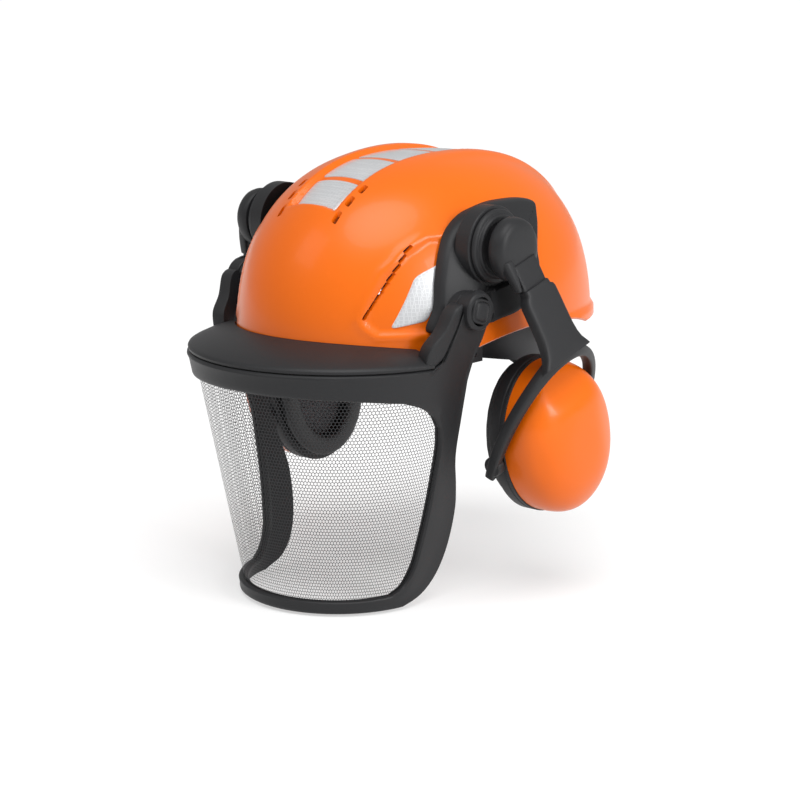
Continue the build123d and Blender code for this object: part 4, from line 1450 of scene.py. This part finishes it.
# ---------------------------------------------------------------- harness
@dataclass
class Harness:
    """Soft parts of the head harness: sweatband, nape pad, crown pad and two straps."""

    finishes: Finishes
    half_width: float = 83.0
    half_length: float = 103.0
    mid_z: float = -6.0
    tilt: float = math.radians(10.6)
    rise: float = 88.0
    strap_width: float = 19.0
    strap_thick: float = 1.2
    strap_lift: float = 2.9
    clip_z: float = 24.0

    def band(self, name: str, start: float, stop: float, inset: float, thick: float, height: float,
             stands_for: str) -> None:
        """A padded strip inside the headband, quilted along its length.

        Args:
            name: The piece's name.
            start: First angle in degrees about Z, from +X.
            stop: Last angle in degrees.
            inset: Distance of its outer face inside the band's outer face, in mm.
            thick: Thickness in mm.
            height: Height in mm.
            stands_for: The CAD node that it hides.
        """
        sections = []
        angles = np.radians(np.linspace(start, stop, 150))
        for number, angle in enumerate(angles):
            part = number / (len(angles) - 1)
            end = min(1.0, math.sin(math.pi * part) * 6.0) ** 0.5
            quilt = 0.14 * math.cos(part * 2.0 * math.pi * 12.0)
            ring = []
            for corner in np.linspace(0.0, 2.0 * math.pi, 26, endpoint=False):
                side, up = math.cos(corner), math.sin(corner)
                wide = abs(side) ** 0.5 * math.copysign(1.0, side)
                tall = abs(up) ** 0.6 * math.copysign(1.0, up)
                seam = 0.28 * math.exp(-((abs(up) - 0.86) / 0.07) ** 2) if side < 0.0 else 0.0
                out = -inset - thick / 2.0 + (thick / 2.0 - 0.05) * wide * max(end, 0.35)
                out += seam - (quilt * thick / 3.0 if side < -0.2 else 0.0)
                x = (self.half_width + out) * math.cos(angle)
                y = (self.half_length + out) * math.sin(angle)
                z = self.mid_z - math.tan(self.tilt) * y + tall * height / 2.0 * max(end, 0.5)
                ring.append((x, y, z))
            sections.append(np.array(ring) * MM)
        made = Mesh().loft(sections).piece(name, "root", self.finishes.comfort, "comfort_foam", [stands_for],
                                           60.0)

    def strap(self, name: str, turn: float, lift: float, stands_for: str) -> None:
        """One webbing strap over the head, with thicker sewn edges.

        Args:
            name: The piece's name.
            turn: Its direction in degrees about Z.
            lift: Its height off the head form in mm.
            stands_for: The CAD node that it hides.
        """
        angle = math.radians(turn)
        ahead = np.array([-math.sin(angle), math.cos(angle)])
        aside = np.array([math.cos(angle), math.sin(angle)])
        sections = []
        half = self.strap_width / 2.0
        edge = ((-half, 0.5), (-half + 0.5, 0.0), (-half + 2.2, 0.12), (0.0, 0.15), (half - 2.2, 0.12),
                (half - 0.5, 0.0), (half, 0.5), (half - 0.5, 1.15), (half - 1.6, 1.2), (half - 2.2, 0.95),
                (0.0, 1.0), (-half + 2.2, 0.95), (-half + 1.6, 1.2), (-half + 0.5, 1.15))
        low = math.asin((self.clip_z + 0.3) / (self.rise + lift))
        for climb in np.linspace(low, math.pi - low, 121):
            ring = []
            for across, up in edge:
                grow = lift + up
                a, b, c = self.half_width + grow, self.half_length + grow, self.rise + grow
                reach = 1.0 / math.hypot(ahead[0] / a, ahead[1] / b)
                flat = ahead * reach * math.cos(climb)
                spot = flat + aside * across
                spread = (spot[0] / a) ** 2 + (spot[1] / b) ** 2
                if spread < 0.85:
                    ring.append((spot[0], spot[1], c * math.sqrt(1.0 - spread)))
                else:
                    z = c * math.sin(climb)
                    room = max(1.0 - (z / c) ** 2 - (across / ((a + b) / 2.0)) ** 2, 0.0)
                    spot = ahead * reach * math.copysign(math.sqrt(room), math.cos(climb)) + aside * across
                    ring.append((spot[0], spot[1], z))
            sections.append(np.array(ring) * MM)
        Mesh().loft(sections).piece(name, "root", self.finishes.webbing, "webbing", [stands_for], 50.0)

    def crown_pad(self) -> None:
        """Round pad under the crossing, domed, with a bound edge."""
        turn = np.linspace(0.0, 2.0 * math.pi, 72, endpoint=False)

        def level(x: Points, y: Points, lift: float) -> Points:
            """Height of the head form grown by a lift."""
            a, b = self.half_width + lift, self.half_length + lift
            return (self.rise + lift) * np.sqrt(1.0 - (x / a) ** 2 - (y / b) ** 2)
        profile = ((0.3, 2.6), (12.0, 2.65), (22.0, 2.6), (24.0, 2.35), (25.2, 1.6), (25.9, 0.6), (25.9, -0.2),
                   (25.2, -0.9), (24.0, -1.15), (23.0, -0.8), (21.0, -1.5), (14.0, -1.6), (6.0, -1.6),
                   (0.3, -1.6))
        rings = []
        for radius, lift in profile:
            ripple = 0.15 * np.sin(18.0 * turn) if 20.0 < radius < 26.0 else 0.0
            x, y = (radius + ripple) * np.cos(turn), (radius + ripple) * np.sin(turn)
            rings.append(np.stack([x, y, level(x, y, lift)], axis=1) * MM)
        made = Mesh().loft(rings).piece("crown_cushion", "root", self.finishes.comfort, "comfort_foam",
                                        ["crown_pad"], 60.0)

    def build(self) -> None:
        """Make the soft pieces."""
        self.band("brow_sweatband", 181.0, 359.0, 2.0, 3.0, 26.0, "sweatband")
        self.band("nape_cushion", 51.5, 128.5, 2.0, 4.0, 24.0, "nape_pad")
        self.strap("strap_lower", -50.0, self.strap_lift, "crown_strap_lower")
        self.strap("strap_upper", 50.0, self.strap_lift + self.strap_thick + 0.3, "crown_strap_upper")
        self.crown_pad()


# ---------------------------------------------------------------- studio
@dataclass
class Studio:
    """Floor, light and camera."""

    azimuth: float = math.radians(42.0)
    elevation: float = math.radians(12.5)
    distance: float = 1.5
    lens: float = 98.08
    shift_right: float = 0.01239
    shift_up: float = 0.0585
    floor_gap: float = 0.0015

    def floor(self) -> None:
        """A wide pale floor that shows as white and keeps the shadow."""
        shader = Shader("studio_floor")
        paths = shader.tree.nodes.new("ShaderNodeLightPath")
        seen = Sock(shader.tree, paths.outputs["Is Camera Ray"]) + Sock(
            shader.tree, paths.outputs["Is Glossy Ray"]) + Sock(
            shader.tree, paths.outputs["Is Transmission Ray"])
        plain = shader.node("ShaderNodeBsdfDiffuse", values={"Color": rgb(0.72, 0.72, 0.72)})
        lit = shader.node("ShaderNodeBsdfDiffuse", values={"Color": rgb(0.52, 0.52, 0.52)})
        glow = shader.node("ShaderNodeEmission", values={"Color": rgb(1, 1, 1), "Strength": 0.52})
        both = shader.tree.nodes.new("ShaderNodeAddShader")
        shader.tree.links.new(lit.out, both.inputs[0])
        shader.tree.links.new(glow.out, both.inputs[1])
        mixed = shader.tree.nodes.new("ShaderNodeMixShader")
        shader.tree.links.new(seen.clamped().out, mixed.inputs[0])
        shader.tree.links.new(plain.out, mixed.inputs[1])
        shader.tree.links.new(both.outputs[0], mixed.inputs[2])
        shader.tree.links.new(mixed.outputs[0], shader.output.inputs[0])
        shader.tree.nodes.remove(shader.principled)
        level = CAD_BOX[0][2] - self.floor_gap
        size = 12.0
        data = bpy.data.meshes.new("floor")
        corners = [(-size, -size, level), (size, -size, level), (size, size, level), (-size, size, level)]
        data.from_pydata(corners, [], [(0, 1, 2, 3)])
        data.materials.append(shader.material)
        made = bpy.data.objects.new("floor", data)
        bpy.context.scene.collection.objects.link(made)

    def world(self) -> None:
        """Even surrounding light, white where the camera sees it."""
        world = bpy.data.worlds.new("studio")
        world.use_nodes = True
        bpy.context.scene.world = world
        tree = world.node_tree
        ground = tree.nodes["Background"]
        paths = tree.nodes.new("ShaderNodeLightPath")
        seen = Sock(tree, paths.outputs["Is Camera Ray"]) + Sock(tree, paths.outputs["Is Transmission Ray"])
        strength = 0.44 + seen.clamped() * 0.56
        tree.links.new(strength.out, ground.inputs[1])
        ground.inputs[0].default_value = rgb(1, 1, 1)

    def lamp(self, name: str, place: Sequence[float], power: float, size: float) -> None:
        """A square soft lamp aimed at the hat's middle."""
        data = bpy.data.lights.new(name, "AREA")
        data.energy = power
        data.size = size
        made = bpy.data.objects.new(name, data)
        made.location = place
        aim = Vector((0.0, -0.02, 0.0)) - Vector(place)
        made.rotation_euler = aim.to_track_quat("-Z", "Y").to_euler()
        bpy.context.scene.collection.objects.link(made)

    def sun(self) -> None:
        """A wide soft sun from the upper left front."""
        data = bpy.data.lights.new("sun", "SUN")
        data.energy = 1.75
        data.angle = math.radians(42.0)
        made = bpy.data.objects.new("sun", data)
        made.rotation_euler = Vector((-0.30, 0.28, -1.0)).to_track_quat("-Z", "Y").to_euler()
        bpy.context.scene.collection.objects.link(made)

    def camera(self) -> None:
        """The camera at the fitted viewing angle."""
        back = Vector((math.sin(self.azimuth) * math.cos(self.elevation),
                       -math.cos(self.azimuth) * math.cos(self.elevation), math.sin(self.elevation)))
        right = Vector((math.cos(self.azimuth), math.sin(self.azimuth), 0.0))
        up = back.cross(right)
        place = back * self.distance - right * self.shift_right - up * self.shift_up
        data = bpy.data.cameras.new("camera")
        data.lens = self.lens
        data.sensor_width = 36.0
        made = bpy.data.objects.new("camera", data)
        turned = Matrix((right, up, back)).transposed().to_4x4()
        made.matrix_world = Matrix.Translation(place) @ turned
        bpy.context.scene.collection.objects.link(made)
        bpy.context.scene.camera = made

    def build(self) -> None:
        """Set up the whole studio."""
        bpy.context.scene.view_settings.view_transform = "Standard"
        self.floor()
        self.world()
        self.sun()
        self.lamp("key", (-0.7, -1.6, 1.5), 4.0, 0.9)
        self.lamp("side", (2.0, 0.1, 0.8), 22.0, 0.8)
        self.camera()


def dress_frame(finishes: Finishes) -> None:
    """Give every CAD node the finish of its slot."""
    by_slot = {"shell_plastic": finishes.shell, "black_plastic": finishes.black,
               "harness_plastic": finishes.nylon, "reflective_film": finishes.film,
               "screen_steel": finishes.screen, "steel": finishes.steel, "webbing": finishes.webbing,
               "comfort_foam": finishes.comfort, "acoustic_foam": finishes.foam,
               "cushion_skin": finishes.skin}
    for row in frame["record"]["subparts"]:
        data = frame["nodes"][row["node"]].data
        data.materials.clear()
        data.materials.append(by_slot[row["material_slot"]])


def main() -> None:
    """Build the hat and its studio."""
    logging.basicConfig(level=logging.INFO, format="%(message)s")
    finishes = Finishes()
    Studio().build()
    dress_frame(finishes)
    Shell(finishes).build()
    visor = Visor(finishes)
    visor.build()
    adapter = Adapter(finishes)
    for side in Side:
        adapter.build(side)
    for side in Side:
        Muff(finishes, side).build()
    Harness(finishes).build()


if __name__ == "__main__":
    main()
